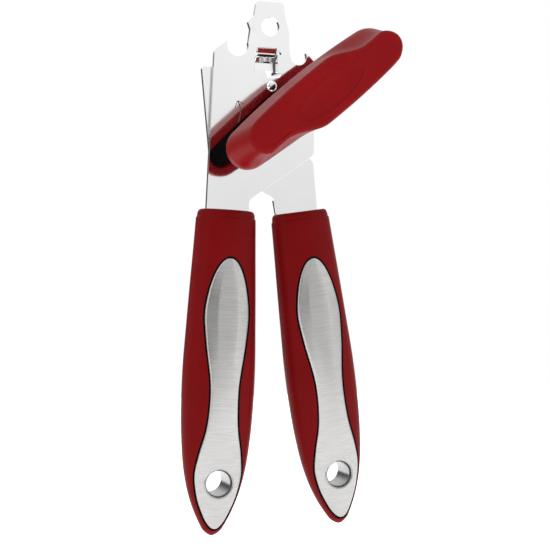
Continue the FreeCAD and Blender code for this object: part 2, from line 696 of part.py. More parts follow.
def make_feed_wheel():
    body = turned("feed_wheel", ring_profile(D.shaft_tail_radius, D.feed_radius, FEED_FACE, FEED_BACK),
                  SHAFT)
    document.recompute()
    groove = new_sketch(body, "tooth_gap", "XZ_Plane")
    root_radius = D.feed_radius - D.feed_tooth_depth
    mouth_radius = D.feed_radius + D.feed_tooth_depth
    mouth_half = mouth_radius * (math.pi * TOOTH_GAP_SHARE / FEED_TEETH)
    draw_polygon(groove, [(root_radius, 0), (mouth_radius, -mouth_half), (mouth_radius, mouth_half)])
    cut = cut_through(body, groove)
    pattern = body.newObject("PartDesign::PolarPattern", "teeth")
    pattern.Originals = [cut]
    pattern.Axis = (groove, ["N_Axis"])
    pattern.Angle = 360
    pattern.Occurrences = FEED_TEETH
    body.Tip = pattern


def make_feed_nut():
    body = new_body("feed_nut")
    sketch = new_sketch(body, "nut_outline", "XZ_Plane", FEED_BACK)
    corner = D.feed_nut_flats / 2 / cosine(30)
    draw_polygon(sketch, [(corner * cosine(60 * i), corner * sine(60 * i)) for i in range(6)])
    draw_circle(sketch, (0, 0), D.shaft_tail_radius)
    pad(body, sketch, D.feed_nut_thickness)
    place(body, SHAFT[0], 0, SHAFT[1])


def make_cutter():
    bore = D.stud_radius + D.running_clearance
    rim = D.cutter_radius
    turned("cutter_washer", ring_profile(D.stud_radius, D.cutter_hub_radius, REAR_BACK,
                                         REAR_BACK + D.cutter_washer_thickness), CUTTER)
    turned("cutter_wheel", [(bore, HUB_FACE), (D.cutter_hub_radius, HUB_FACE),
                            (D.cutter_hub_radius, BLADE_FACE), (rim, BLADE_FACE),
                            (rim, BLADE_FACE + D.cutter_edge), (rim - D.cutter_bevel, BLADE_BACK),
                            (bore, BLADE_BACK)], CUTTER)
    head_face = BLADE_BACK + D.side_clearance
    head_back = head_face + D.stud_head_height
    turned("cutter_stud", [(0, REAR_FACE), (D.stud_radius, REAR_FACE), (D.stud_radius, head_face)]
           + rivet_head(D.stud_head_radius, head_face, head_back, D.head_edge) + [(0, head_back)],
           CUTTER)


# ---- knob --------------------------------------------------------------------------------

def make_knob(hub_back):
    """The knob lies along its own X axis at the shaft and is then turned to its resting angle."""
    base = -D.knob_lift
    top = base - D.knob_height
    length, width, end = D.knob_half_length, D.knob_half_width, D.knob_end_radius

    body = new_body("knob")
    outline = new_sketch(body, "knob_outline", "XZ_Plane", base)
    draw_knob_outline(outline, length, width, end)
    pad(body, outline, D.knob_height, backwards=False)

    slopes = new_sketch(body, "end_slopes", "XY_Plane")
    slope_foot = base - D.knob_end_rise
    above = top - CUT_MARGIN
    outside = length + CUT_MARGIN
    for side in (-1, 1):
        draw_polygon(slopes, [(side * length, slope_foot), (side * outside, slope_foot),
                              (side * outside, above), (side * (length - D.knob_end_slope), above)])
    cut_through(body, slopes)
    top_edges = [f"Edge{number}" for number, edge in enumerate(body.Shape.Edges, start=1)
                 if edge.BoundBox.YMax < top.value + NEAR]
    round_edges(body, "top_round", top_edges, D.knob_round)

    hollow = new_sketch(body, "knob_hollow", "XZ_Plane", base)
    draw_knob_outline(hollow, length - D.knob_wall, width - D.knob_wall, end - D.knob_wall)
    cut_depth(body, hollow, D.knob_hollow)

    scoop_size = (D.scoop_length, D.scoop_depth, D.scoop_width)
    for name, side in (("scoop_upper", 1), ("scoop_lower", -1)):
        subtract_ellipsoid(body, name, (side * D.scoop_offset_u, top, side * D.scoop_offset_v),
                           scoop_size)
    subtract_ellipsoid(body, "thumb_dish", (0, top, -D.dish_drop),
                       (D.dish_length, D.dish_depth, D.dish_width))

    turn_to_rest(body)

    core = new_body("knob_core")
    liner = new_sketch(core, "liner_outline", "XZ_Plane", base - D.knob_hollow)
    gap = D.knob_wall + D.liner_gap
    draw_knob_outline(liner, length - gap, width - gap, end - gap)
    pad(core, liner, D.liner_thickness)
    hub = new_sketch(core, "hub_outline", "XZ_Plane", base - D.knob_hollow)
    draw_circle(hub, (0, 0), D.hub_radius)
    pad(core, hub, hub_back - base + D.knob_hollow)
    socket = new_sketch(core, "hub_socket", "XZ_Plane", hub_back)
    draw_circle(socket, (0, 0), D.shaft_radius)
    cut_depth(core, socket, D.hub_socket)
    turn_to_rest(core)


def turn_to_rest(body):
    body.Placement = Placement(Vector(), Rotation(Vector(0, 1, 0), -D.knob_angle.value))
    place(body, SHAFT[0], 0, SHAFT[1])
    bind(body, "Placement.Rotation.Angle", 360 - D.knob_angle)


def subtract_ellipsoid(body, name, centre, semi_axes):
    """Cuts an ellipsoid; centre and semi_axes are along X, along Y and along Z."""
    before = body.Shape.Volume
    ellipsoid = body.newObject("PartDesign::SubtractiveEllipsoid", name)
    bind(ellipsoid, "Radius1", semi_axes[2])
    bind(ellipsoid, "Radius2", semi_axes[0])
    bind(ellipsoid, "Radius3", semi_axes[1])
    place(ellipsoid, *centre)
    document.recompute()
    if body.Shape.Volume >= before:
        raise RuntimeError(f"{name} cut nothing")


def draw_knob_outline(sketch, length, width, end):
    """Two round ends joined by two long bulging sides, symmetric about both axes."""
    reach = length - end
    bulge = (reach * reach + width * width - end * end) / (2 * (width - end))
    join = math.atan2((bulge - width).value, reach.value)
    offset = (bulge - width).value
    up = Vector(0, 0, 1)

    def arc(x, y, radius, start, stop):
        circle = Part.Circle(Vector(x, y, 0), up, radius.value)
        return sketch.addGeometry(Part.ArcOfCircle(circle, start, stop))

    right = arc(reach.value, 0, end, -join, join)
    upper = arc(0, -offset, bulge, join, math.pi - join)
    left = arc(-reach.value, 0, end, math.pi - join, math.pi + join)
    lower = arc(0, offset, bulge, math.pi + join, 2 * math.pi - join)
    ring = (right, upper, left, lower)
    for i, one in enumerate(ring):
        sketch.addConstraint(Sketcher.Constraint("Tangent", one, 2, ring[(i + 1) % 4], 1))
    pin_point(sketch, right, 3, reach, 0)
    pin_point(sketch, left, 3, -reach, 0)
    for curve, radius in ((right, end), (left, end), (upper, bulge), (lower, bulge)):
        limit = sketch.addConstraint(Sketcher.Constraint("Radius", curve, radius.value))
        bind(sketch, f"Constraints[{limit}]", radius)


# ---- grips, cores, inlays and eyelets ----------------------------------------------------
# A grip is one loft through ovals, and its inlay is a thin shell of the same loft. Part's own
# functions build them, because the shell and its seat are cut between two offset lofts.
# They are made upright, with the top of the grip at the origin, and then placed.

def oval(half_width, half_depth, down):
    """A level oval of four arcs: two gentle faces and two round sides."""
    side = SIDE_ROUND_SHARE * half_depth
    reach = half_width - side
    face = (reach ** 2 + half_depth ** 2 - side ** 2) / (2 * (half_depth - side))
    join = math.atan2(face - half_depth, reach)
    tangent_x = reach + side * math.cos(join)
    tangent_y = side * math.sin(join)

    def spot(x, y):
        return Vector(x, y, -down)

    corners = [spot(tangent_x, tangent_y), spot(-tangent_x, tangent_y),
               spot(-tangent_x, -tangent_y), spot(tangent_x, -tangent_y)]
    middles = [spot(0, half_depth), spot(-half_width, 0), spot(0, -half_depth), spot(half_width, 0)]
    edges = [Part.Arc(corners[i], middles[i], corners[(i + 1) % 4]).toShape() for i in range(4)]
    return Part.Wire(edges)


def grip_loft(inset, stations=GRIP_PROFILE):
    """The grip's solid below its collar, or one that lies deeper by inset."""
    sections = []
    for share, width, depth in stations:
        half_width = D.grip_half_width.value * width - inset
        half_depth = D.grip_half_depth.value * depth - inset
        down = max(share * D.grip_length.value, D.grip_collar.value)
        sections.append(oval(half_width, half_depth, down))
    return Part.makeLoft(sections, True, False)


def grip_collar():
    """The bevelled end that closes the top of the grip."""
    collar = D.grip_collar.value
    share, width, depth = GRIP_PROFILE[0]
    half_width = D.grip_half_width.value * width
    half_depth = D.grip_half_depth.value * depth
    return Part.makeLoft([oval(half_width - collar, half_depth - collar, 0),
                          oval(half_width, half_depth, collar)], True, True)


def inlay_prism(grow):
    """The inlay's vase outline, enlarged by grow, as a prism over the front half of the grip."""
    start = D.inlay_start.value - grow
    end = (D.grip_length - D.inlay_end_margin).value + grow
    upper, waist, lower = (size.value + grow for size in
                           (D.inlay_upper_half, D.inlay_waist_half, D.inlay_lower_half))
    half_outline = ((0.012, 0.30 * upper), (0.055, 0.62 * upper), (0.12, 0.86 * upper),
                    (0.215, upper), (0.305, 0.91 * upper), (0.49, waist), (0.63, 1.14 * waist),
                    (0.72, 0.90 * lower), (0.79, lower), (0.87, 0.87 * lower), (0.94, 0.58 * lower),
                    (0.988, 0.25 * lower))
    right = [Vector(half, 0, -(start + share * (end - start))) for share, half in half_outline]
    left = [Vector(-spot.x, 0, spot.z) for spot in reversed(right)]
    curve = Part.BSplineCurve()
    curve.interpolate([Vector(0, 0, -start)] + right + [Vector(0, 0, -end)] + left, PeriodicFlag=True)
    return Part.Face(Part.Wire([curve.toShape()])).extrude(Vector(0, -2 * D.grip_half_depth.value, 0))


def bored(radius, half_length, down):
    """A cylinder through the grip along Y, at the given distance below its top."""
    return Part.makeCylinder(radius, 2 * half_length, Vector(0, -half_length, -down), Vector(0, 1, 0))


def grip_placement(grip):
    x, z, lean = (size.value for size in grip)
    return Placement(Vector(x, GRIP_CENTRE_Y.value, z), Rotation(Vector(0, 1, 0), lean))


def add_feature(name, shape, placement):
    feature = document.addObject("Part::Feature", name)
    feature.Label = name
    feature.Shape = shape
    feature.Placement = placement
    parts[name] = feature


def make_grip(side, grip, plate):
    placement = grip_placement(grip)
    plate_here = plate.Shape.copy()
    plate_here.transformShape(placement.inverse().toMatrix(), True)
    station, length = EYELET_STATION.value, D.grip_length.value
    tube = D.eyelet_bore.value + D.eyelet_wall.value
    flange_seat = (EYELET_HALF_LENGTH - D.eyelet_flange).value
    depth = 2 * D.grip_half_depth.value
    tube_hole = bored(tube, depth, station)
    pin_stations = (D.tang_pin_first.value, D.tang_pin_second.value)

    seats = [Part.makeCylinder(D.eyelet_flange_radius.value, depth,
                               Vector(0, sign * flange_seat, -station), Vector(0, sign, 0))
             for sign in (-1, 1)]

    inner = grip_loft(D.inlay_thickness.value - D.inlay_proud.value)
    inlay = grip_loft(-D.inlay_proud.value).common(inlay_prism(0)).cut(inner)
    inlay = inlay.cut(tube_hole).cut(seats[0])

    margin = D.core_margin.value
    core_stations = GRIP_PROFILE[:-2]
    core = grip_loft(D.grip_wall.value, core_stations)
    trim = Part.makeBox(2 * depth, 2 * depth, length - 2 * margin, Vector(-depth, -depth, margin - length))
    core = core.common(trim)

    outer = grip_loft(0).fuse(grip_collar())
    soft = outer.cut(inlay_prism(D.inlay_groove.value).cut(inner))
    soft = soft.cut(core).cut(plate_here).cut(tube_hole).cut(seats[0]).cut(seats[1])

    pin_half_length = (D.grip_half_depth - D.tang_pin_cover).value
    pins = [bored(D.tang_pin_radius.value, pin_half_length, down) for down in pin_stations]
    core = core.cut(plate_here).cut(tube_hole)
    for pin in pins:
        core = core.cut(pin)

    add_feature(f"{side}_grip", soft, placement)
    add_feature(f"{side}_core", core, placement)
    add_feature(f"{side}_inlay", inlay, placement)
    for number, pin in enumerate(pins, start=1):
        add_feature(f"{side}_tang_pin_{number}", pin, placement)
    add_feature(f"{side}_eyelet", make_eyelet(tube, flange_seat, station), placement)


def make_eyelet(tube, flange_seat, station):
    """A tube with a countersunk flange at each end."""
    half = EYELET_HALF_LENGTH.value
    bore = D.eyelet_bore.value
    flange = D.eyelet_flange_radius.value
    wall = D.eyelet_wall.value
    edge = D.head_edge.value
    front_half = [(bore, -half + wall), (bore + wall, -half), (flange - edge, -half),
                  (flange, -half + edge), (flange, -flange_seat), (tube, -flange_seat)]
    back_half = [(radius, -depth) for radius, depth in reversed(front_half)]
    outline = [Vector(radius, depth, -station) for radius, depth in front_half + back_half]
    section = Part.Face(Part.makePolygon(outline + outline[:1]))
    return section.revolve(Vector(0, 0, -station), Vector(0, 1, 0), 360)


# ---- build and export --------------------------------------------------------------------

make_front_plate()
make_rear_plate()
make_pivot()
make_stops()
make_drive()
make_cutter()
document.recompute()
make_grip("left", LEFT_GRIP, parts["front_plate"])
make_grip("right", RIGHT_GRIP, parts["rear_plate"])
document.recompute()

for thing in document.Objects:
    if "Invalid" in thing.State or "Error" in thing.State:
        raise RuntimeError(f"{thing.Name} is {thing.State}")
for name, thing in parts.items():
    if thing.Shape.isNull() or not thing.Shape.isValid() or len(thing.Shape.Solids) != 1:
        raise RuntimeError(f"{name} isn't one valid solid")

os.makedirs("parts", exist_ok=True)
for name, thing in parts.items():
    thing.Shape.exportStep(f"parts/{name}.step")
    print(f"{name}: {thing.Shape.Volume:.1f} mm3")
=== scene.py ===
"""Manual can opener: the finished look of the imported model, in metres, in the model's own frame.

Origin at the hang hole, +Z towards the head, +X to the right seen from the knob side, +Y to the back.
Sizes in the classes below are millimetres unless a comment says otherwise.
"""

import json
import logging
import math
from dataclasses import dataclass
from enum import Enum
from typing import Optional, Sequence, Union

import bmesh
import bpy
import numpy as np
from mathutils import Euler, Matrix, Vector

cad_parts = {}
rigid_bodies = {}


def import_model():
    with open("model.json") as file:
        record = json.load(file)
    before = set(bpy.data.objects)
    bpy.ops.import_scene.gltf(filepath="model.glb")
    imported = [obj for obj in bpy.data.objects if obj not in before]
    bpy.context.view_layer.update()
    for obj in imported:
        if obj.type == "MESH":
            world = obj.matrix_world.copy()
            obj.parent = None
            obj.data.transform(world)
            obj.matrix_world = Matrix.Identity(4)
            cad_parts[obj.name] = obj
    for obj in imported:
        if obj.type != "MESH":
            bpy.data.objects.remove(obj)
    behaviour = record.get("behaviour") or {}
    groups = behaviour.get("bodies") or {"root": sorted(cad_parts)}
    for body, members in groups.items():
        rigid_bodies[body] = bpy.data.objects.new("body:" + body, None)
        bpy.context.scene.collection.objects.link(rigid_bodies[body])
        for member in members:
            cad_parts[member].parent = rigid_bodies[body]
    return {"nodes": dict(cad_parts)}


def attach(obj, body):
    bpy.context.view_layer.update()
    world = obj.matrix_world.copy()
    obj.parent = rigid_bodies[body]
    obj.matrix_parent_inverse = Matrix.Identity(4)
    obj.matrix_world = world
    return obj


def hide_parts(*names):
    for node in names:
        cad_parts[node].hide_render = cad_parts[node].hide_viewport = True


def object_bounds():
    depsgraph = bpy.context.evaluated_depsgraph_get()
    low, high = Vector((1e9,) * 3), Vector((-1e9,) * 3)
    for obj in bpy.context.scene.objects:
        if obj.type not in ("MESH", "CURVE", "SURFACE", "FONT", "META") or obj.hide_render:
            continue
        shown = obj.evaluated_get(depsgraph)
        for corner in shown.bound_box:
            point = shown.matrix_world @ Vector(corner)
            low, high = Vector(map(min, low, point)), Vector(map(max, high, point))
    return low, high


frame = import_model()
CAD_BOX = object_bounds()

MM = 0.001
WELD = 1e-6  # metres; corners of a new piece that lie nearer are one
CAD_WELD = 2e-6  # metres; the same for a CAD shape
FLAT = math.radians(1)  # faces that meet at less are one face
SHADED = math.radians(20)  # edges that turn by more are shaded as edges
BROKEN = math.radians(35)  # edges that turn by more are broken
Pair = tuple[float, float]
Triple = tuple[float, float, float]
Piece = bpy.types.Object
Material = bpy.types.Material
Socket = bpy.types.NodeSocket
log = logging.getLogger("can_opener")


class Side(Enum):
    """The two arms, by where their grip lies seen from the knob side."""

    LEFT = "left"
    RIGHT = "right"


class Body(Enum):
    """The moving bodies of the model."""

    LEFT_ARM = "left_arm"
    RIGHT_ARM = "right_arm"
    DRIVE = "drive"
    CUTTER = "cutter"


class Slot(Enum):
    """The record's material slots."""

    PLATE = "plate_steel"
    RIVET = "rivet_steel"
    HARD = "hard_steel"
    INLAY = "inlay_steel"
    GRIP = "grip_red"
    KNOB = "knob_red"
    BLACK = "black_plastic"


# ---- curves and meshes -------------------------------------------------------------------


def ease(value: np.ndarray) -> np.ndarray:
    """Smooth step of a value that is clipped to 0..1."""
    value = np.clip(value, 0.0, 1.0)
    return value * value * (3.0 - 2.0 * value)


def smooth_curve(places: Sequence[float], values: Sequence[float], at: np.ndarray) -> np.ndarray:
    """A smooth curve through the given values.

    Args:
        places: Rising places of the known values.
        values: The known values.
        at: Places to read the curve at.

    Returns:
        The curve's values at those places.
    """
    x, y = np.asarray(places, float), np.asarray(values, float)
    slopes = np.gradient(y, x)
    at = np.clip(at, x[0], x[-1])
    k = np.clip(np.searchsorted(x, at, side="right") - 1, 0, len(x) - 2)
    step = x[k + 1] - x[k]
    t = (at - x[k]) / step
    return ((2 * t**3 - 3 * t**2 + 1) * y[k] + (t**3 - 2 * t**2 + t) * step * slopes[k]
            + (3 * t**2 - 2 * t**3) * y[k + 1] + (t**3 - t**2) * step * slopes[k + 1])


def mesh_piece(name: str, points: np.ndarray, faces: list[tuple[int, ...]],
               tags: Optional[list[int]] = None) -> Piece:
    """A closed smooth-shaded piece, merged and with its faces outwards.

    Args:
        name: The piece's name.
        points: Corner places, millimetres.
        faces: Corner numbers of each face.
        tags: Material number of each face, or None for all 0.

    Returns:
        The new object, at the origin.
    """
    mesh = bpy.data.meshes.new(name)
    mesh.from_pydata((points * MM).tolist(), [], faces)
    if tags is not None:
        mesh.polygons.foreach_set("material_index", tags)
    piece = bpy.data.objects.new(name, mesh)
    bpy.context.scene.collection.objects.link(piece)
    tidy_mesh(piece, WELD)
    return piece


def tidy_mesh(piece: Piece, reach: float) -> None:
    """Merges corners nearer than reach (metres), drops slivers and points the faces outwards."""
    grid = bmesh.new()
    grid.from_mesh(piece.data)
    bmesh.ops.remove_doubles(grid, verts=grid.verts, dist=reach)
    bmesh.ops.dissolve_degenerate(grid, edges=grid.edges, dist=reach / 2)
    bmesh.ops.recalc_face_normals(grid, faces=grid.faces)
    grid.to_mesh(piece.data)
    grid.free()
    piece.data.polygons.foreach_set("use_smooth", [True] * len(piece.data.polygons))


def band_faces(count: int, around: int) -> list[tuple[int, ...]]:
    """The four-cornered faces between neighbouring closed rings of points."""
    return [(i * around + j, i * around + (j + 1) % around, (i + 1) * around + (j + 1) % around,
             (i + 1) * around + j) for i in range(count - 1) for j in range(around)]


def rings_piece(name: str, rings: np.ndarray, tags: Optional[Sequence[int]] = None) -> Piece:
    """A closed skin over rings of points, capped at its first and last ring.

    Args:
        name: The piece's name.
        rings: Places, shaped (ring, point, 3), millimetres.
        tags: Material number of each strip between neighbouring points of a ring, or None for all 0.

    Returns:
        The new object.
    """
    count, around = rings.shape[:2]
    faces = band_faces(count, around)
    faces.append(tuple(range(around)))
    faces.append(tuple((count - 1) * around + j for j in reversed(range(around))))
    numbers = list(tags or [0] * around) * (count - 1) + [0, 0]
    return mesh_piece(name, rings.reshape(-1, 3), faces, numbers)


def box_piece(name: str, low: Sequence[float], high: Sequence[float]) -> Piece:
    """A closed box between two corners, as a cutter."""
    (x0, y0, z0), (x1, y1, z1) = low, high
    return rings_piece(name, np.array([[(x0, y, z0), (x1, y, z0), (x1, y, z1), (x0, y, z1)]
                                       for y in (y0, y1)]))


def turned_piece(name: str, profile: Sequence[Pair], centre: Pair,
                 closed: bool = False, segments: int = 72) -> Piece:
    """A piece turned on a lathe about an axis along Y.

    Args:
        name: The piece's name.
        profile: (radius, depth) points; from axis to axis, or a closed loop for a ring.
        centre: (x, z) of the axis.
        closed: Whether the profile is a closed loop.
        segments: Facets round the piece.

    Returns:
        The new object.
    """
    angles = np.linspace(0, 2 * math.pi, segments, endpoint=False)
    rows = list(profile) + ([profile[0]] if closed else [])
    rings = np.array([[(centre[0] + r * math.cos(a), y, centre[1] + r * math.sin(a)) for a in angles]
                      for r, y in rows])
    return mesh_piece(name, rings.reshape(-1, 3), band_faces(len(rows), segments))


def rounded_profile(corners: Sequence[Triple], steps: int = 5) -> list[Pair]:
    """Replaces each corner (radius, depth, rounding) of a lathe profile by a small arc of chords."""
    places = []
    for i, (r, y, rounding) in enumerate(corners):
        here = Vector((r, y))
        if rounding == 0 or i in (0, len(corners) - 1):
            places.append((r, y))
            continue
        before = (Vector(corners[i - 1][:2]) - here).normalized() * rounding
        after = (Vector(corners[i + 1][:2]) - here).normalized() * rounding
        for k in range(steps + 1):
            t = k / steps
            spot = here + before * (1 - t) ** 2 + after * t**2
            places.append((spot.x, spot.y))
    return places


def realised(piece: Piece) -> Piece:
    """Turns a piece's live modifiers into plain mesh."""
    graph = bpy.context.evaluated_depsgraph_get()
    graph.update()
    mesh = bpy.data.meshes.new_from_object(piece.evaluated_get(graph))
    piece.modifiers.clear()
    piece.data = mesh
    return piece


def cut_by(piece: Piece, cutter: Piece) -> None:
    """Cuts a closed cutter out of a piece and removes the cutter."""
    trim = piece.modifiers.new("cut", "BOOLEAN")
    trim.object = cutter
    trim.operation = "DIFFERENCE"
    trim.solver = "EXACT"
    realised(piece)
    bpy.data.objects.remove(cutter)


def merged_copy(node: str, name: str, edge: float, segments: int = 2) -> Piece:
    """A copy of a CAD node with its loose triangles merged and its sharp edges broken.

    Args:
        node: The CAD node.
        name: The new piece's name.
        edge: Width of the broken edge, millimetres.
        segments: Facets across the broken edge.

    Returns:
        The new object.
    """
    piece = bpy.data.objects.new(name, frame["nodes"][node].data.copy())
    bpy.context.scene.collection.objects.link(piece)
    piece.data.materials.clear()
    tidy_mesh(piece, CAD_WELD)
    grid = bmesh.new()
    grid.from_mesh(piece.data)
    bmesh.ops.dissolve_limit(grid, angle_limit=FLAT, verts=grid.verts, edges=grid.edges)
    grid.to_mesh(piece.data)
    grid.free()
    bevel = piece.modifiers.new("edges", "BEVEL")
    bevel.width = edge * MM
    bevel.segments = segments
    bevel.limit_method = "ANGLE"
    bevel.angle_limit = BROKEN
    realised(piece)
    piece.data.set_sharp_from_angle(angle=SHADED)
    return piece


# ---- finishes ----------------------------------------------------------------------------


class Web:
    """Short words for adding nodes to a tree and joining them."""

    def __init__(self, tree: bpy.types.NodeTree) -> None:
        """Takes the tree to fill."""
        self.tree = tree

    def feed(self, node: bpy.types.Node, inputs: dict[Union[str, int], object]) -> None:
        """Sets a node's inputs by name or number, each to a constant or from another node's socket."""
        for key, value in inputs.items():
            if isinstance(value, Socket):
                self.tree.links.new(value, node.inputs[key])
            else:
                node.inputs[key].default_value = value

    def node(self, kind: str, inputs: Optional[dict[Union[str, int], object]] = None,
             **values: object) -> bpy.types.Node:
        """Adds a node.

        Args:
            kind: Its type.
            inputs: Its inputs, as feed takes them.
            values: Its properties.

        Returns:
            The new node.
        """
        made = self.tree.nodes.new(kind)
        for key, value in values.items():
            setattr(made, key, value)
        self.feed(made, inputs or {})
        return made

    def sum_of(self, operation: str, *inputs: object) -> Socket:
        """The result of a Math node."""
        return self.node("ShaderNodeMath", dict(enumerate(inputs)), operation=operation).outputs[0]

    def spread(self, value: Socket, source: Pair, target: Pair) -> Socket:
        """A value mapped from one range to another."""
        return self.node("ShaderNodeMapRange", {
            "Value": value, "From Min": source[0], "From Max": source[1], "To Min": target[0],
            "To Max": target[1]}).outputs["Result"]


class Recipe(Web):
    """A new material's node tree, with the steps that the finishes share."""

    NOISE_RANGE = (0.3, 0.7)

    def __init__(self, name: str) -> None:
        """Starts a material that has a Principled shader only."""
        self.material = bpy.data.materials.new(name)
        self.material.use_nodes = True
        super().__init__(self.material.node_tree)
        self.shader = next(n for n in self.tree.nodes if n.type == "BSDF_PRINCIPLED")

    def set(self, **values: object) -> None:
        """Sets the shader's own sockets; underscores in a name stand for spaces."""
        self.feed(self.shader, {key.replace("_", " "): value for key, value in values.items()})

    def noise(self, scale: float, stretch: Triple = (1, 1, 1), lean: float = 0.0,
              detail: float = 3.0) -> Socket:
        """Noise on object coordinates.

        Args:
            scale: Size of the pattern, per metre.
            stretch: Scale along X, Y and Z.
            lean: Turn of the pattern about Y, degrees.
            detail: Octaves.

        Returns:
            The noise's value socket.
        """
        place = self.node("ShaderNodeTexCoord").outputs["Object"]
        for inputs in ({"Rotation": (0, math.radians(lean), 0)}, {"Scale": stretch}):
            place = self.node("ShaderNodeMapping", {"Vector": place, **inputs}).outputs["Vector"]
        return self.node("ShaderNodeTexNoise", {"Vector": place, "Scale": scale,
                                                "Detail": detail}).outputs["Fac"]

    def tint(self, value: Socket, dark: Triple, light: Triple) -> None:
        """Lets the base colour wander between two tones."""
        blend = self.node("ShaderNodeMix", {
            "A": (*dark, 1), "B": (*light, 1), "Factor": self.spread(value, self.NOISE_RANGE, (0, 1)),
        }, data_type="RGBA")
        self.set(Base_Color=blend.outputs["Result"])

    def gloss(self, value: Socket, roughness: Pair) -> None:
        """Lets the roughness wander between two values."""
        self.set(Roughness=self.spread(value, self.NOISE_RANGE, roughness))

    def bump(self, value: Socket, height: float, strength: float) -> None:
        """Bump of the given height in metres."""
        made = self.node("ShaderNodeBump", {"Distance": height, "Strength": strength, "Height": value})
        self.set(Normal=made.outputs["Normal"])


@dataclass(frozen=True)
class Steel:
    """A metal finish: its tones, its gloss and the direction and depth of its grain."""

    name: str
    dark: Triple
    light: Triple
    roughness: Pair
    grain: float = 900.0
    stretch: Triple = (1.0, 1.0, 1.0)
    lean: float = 0.0
    height: float = 2e-6
    anisotropy: float = 0.0
    broad: float = 45.0
    bump: float = 0.6

    def build(self) -> Material:
        """Makes the material."""
        recipe = Recipe(self.name)
        recipe.set(Metallic=1.0, Anisotropic=self.anisotropy)
        grain = recipe.noise(self.grain, self.stretch, self.lean, detail=4.0)
        recipe.tint(grain, self.dark, self.light)
        recipe.gloss(recipe.noise(self.broad, lean=self.lean), self.roughness)
        recipe.bump(grain, self.height, self.bump)
        return recipe.material


@dataclass(frozen=True)
class Plastic:
    """A moulded plastic or soft rubber finish with a fine eroded texture."""

    name: str
    dark: Triple
    light: Triple
    roughness: Pair
    gloss: float = 0.4
    grain: float = 2600.0
    height: float = 6e-6
    broad: float = 60.0
    bump: float = 0.5

    def build(self) -> Material:
        """Makes the material."""
        recipe = Recipe(self.name)
        recipe.set(Metallic=0.0, Specular_IOR_Level=self.gloss)
        fine = recipe.noise(self.grain, detail=2.0)
        recipe.tint(recipe.noise(self.broad), self.dark, self.light)
        recipe.gloss(fine, self.roughness)
        recipe.bump(fine, self.height, self.bump)
        return recipe.material


class Palette:
    """Every finish of the can opener, built once."""

    def __init__(self) -> None:
        """Builds the materials."""
        self.polished = Steel("polished_plate", (0.86, 0.86, 0.862), (0.89, 0.89, 0.888), (0.05, 0.09),
                              grain=60.0, height=1e-7).build()
        self.rivet = Steel("polished_rivet", (0.70, 0.70, 0.71), (0.82, 0.82, 0.82), (0.12, 0.2),
                           grain=700.0, height=1e-6).build()
        self.eyelet = Steel("dull_eyelet", (0.33, 0.33, 0.33), (0.42, 0.42, 0.42), (0.22, 0.3),
                            grain=700.0, height=1e-6).build()
        self.ground = Steel("ground_hard_steel", (0.34, 0.34, 0.36), (0.55, 0.55, 0.56), (0.24, 0.36),
                            grain=500.0, stretch=(4, 1, 1), height=4e-6).build()
        # Black plastic of the cores; the grips also use it on the groove round each inlay as painted shade.
        self.black = Plastic("black_plastic", (0.004, 0.004, 0.0045), (0.008, 0.008, 0.008),
                             (0.45, 0.6), gloss=0.08).build()
        self.grip = Plastic("soft_red_grip", (0.135, 0.0012, 0.0020), (0.155, 0.0017, 0.0027),
                            (0.36, 0.46), gloss=0.06, height=9e-6).build()
        self.knob = Plastic("satin_red_knob", (0.19, 0.0030, 0.0044), (0.22, 0.0040, 0.0058),
                            (0.34, 0.44), gloss=0.06, height=5e-6).build()
        # The engraved arrow's dark tone is painted shade, standing in for the shade inside its groove.
        self.engraving_painted_shade = Plastic("engraved_line_painted_shade", (0.02, 0.02, 0.02), (0.05, 0.05, 0.05),
                                 (0.4, 0.5)).build()

    def brushed(self, side: Side, lean: float) -> Material:
        """Steel brushed across a grip that leans by the given angle in degrees."""
        return Steel(f"brushed_inlay_{side.value}", (0.39, 0.386, 0.38), (0.51, 0.506, 0.498), (0.24, 0.31),
                     grain=800.0, stretch=(0.10, 1.0, 7.0), lean=lean, height=2.5e-6, anisotropy=0.35).build()


def finish_piece(piece: Piece, body: Body, materials: Sequence[Material],
                 stands_for: Sequence[str] = ()) -> None:
    """Dresses a piece and ties it to its body.

    Args:
        piece: The piece, finished.
        body: The body it moves with.
        materials: The piece's materials, in the order of its faces' numbers.
        stands_for: CAD nodes that it replaces.
    """
    numbers = [0] * len(piece.data.polygons)
    piece.data.polygons.foreach_get("material_index", numbers)
    piece.data.materials.clear()
    for material in materials:
        piece.data.materials.append(material)
    piece.data.polygons.foreach_set("material_index", [min(n, len(materials) - 1) for n in numbers])
    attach(piece, body.value)
    if stands_for:
        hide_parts(*stands_for)
    log.info("%s: %d faces on %s", piece.name, len(piece.data.polygons), body.value)


def dress_node(node: str, material: Material) -> None:
    """Gives a CAD node that stays a better finish."""
    mesh = frame["nodes"][node].data
    mesh.materials.clear()
    mesh.materials.append(material)
    log.info("%s: CAD shape kept", node)


# ---- grips -------------------------------------------------------------------------------


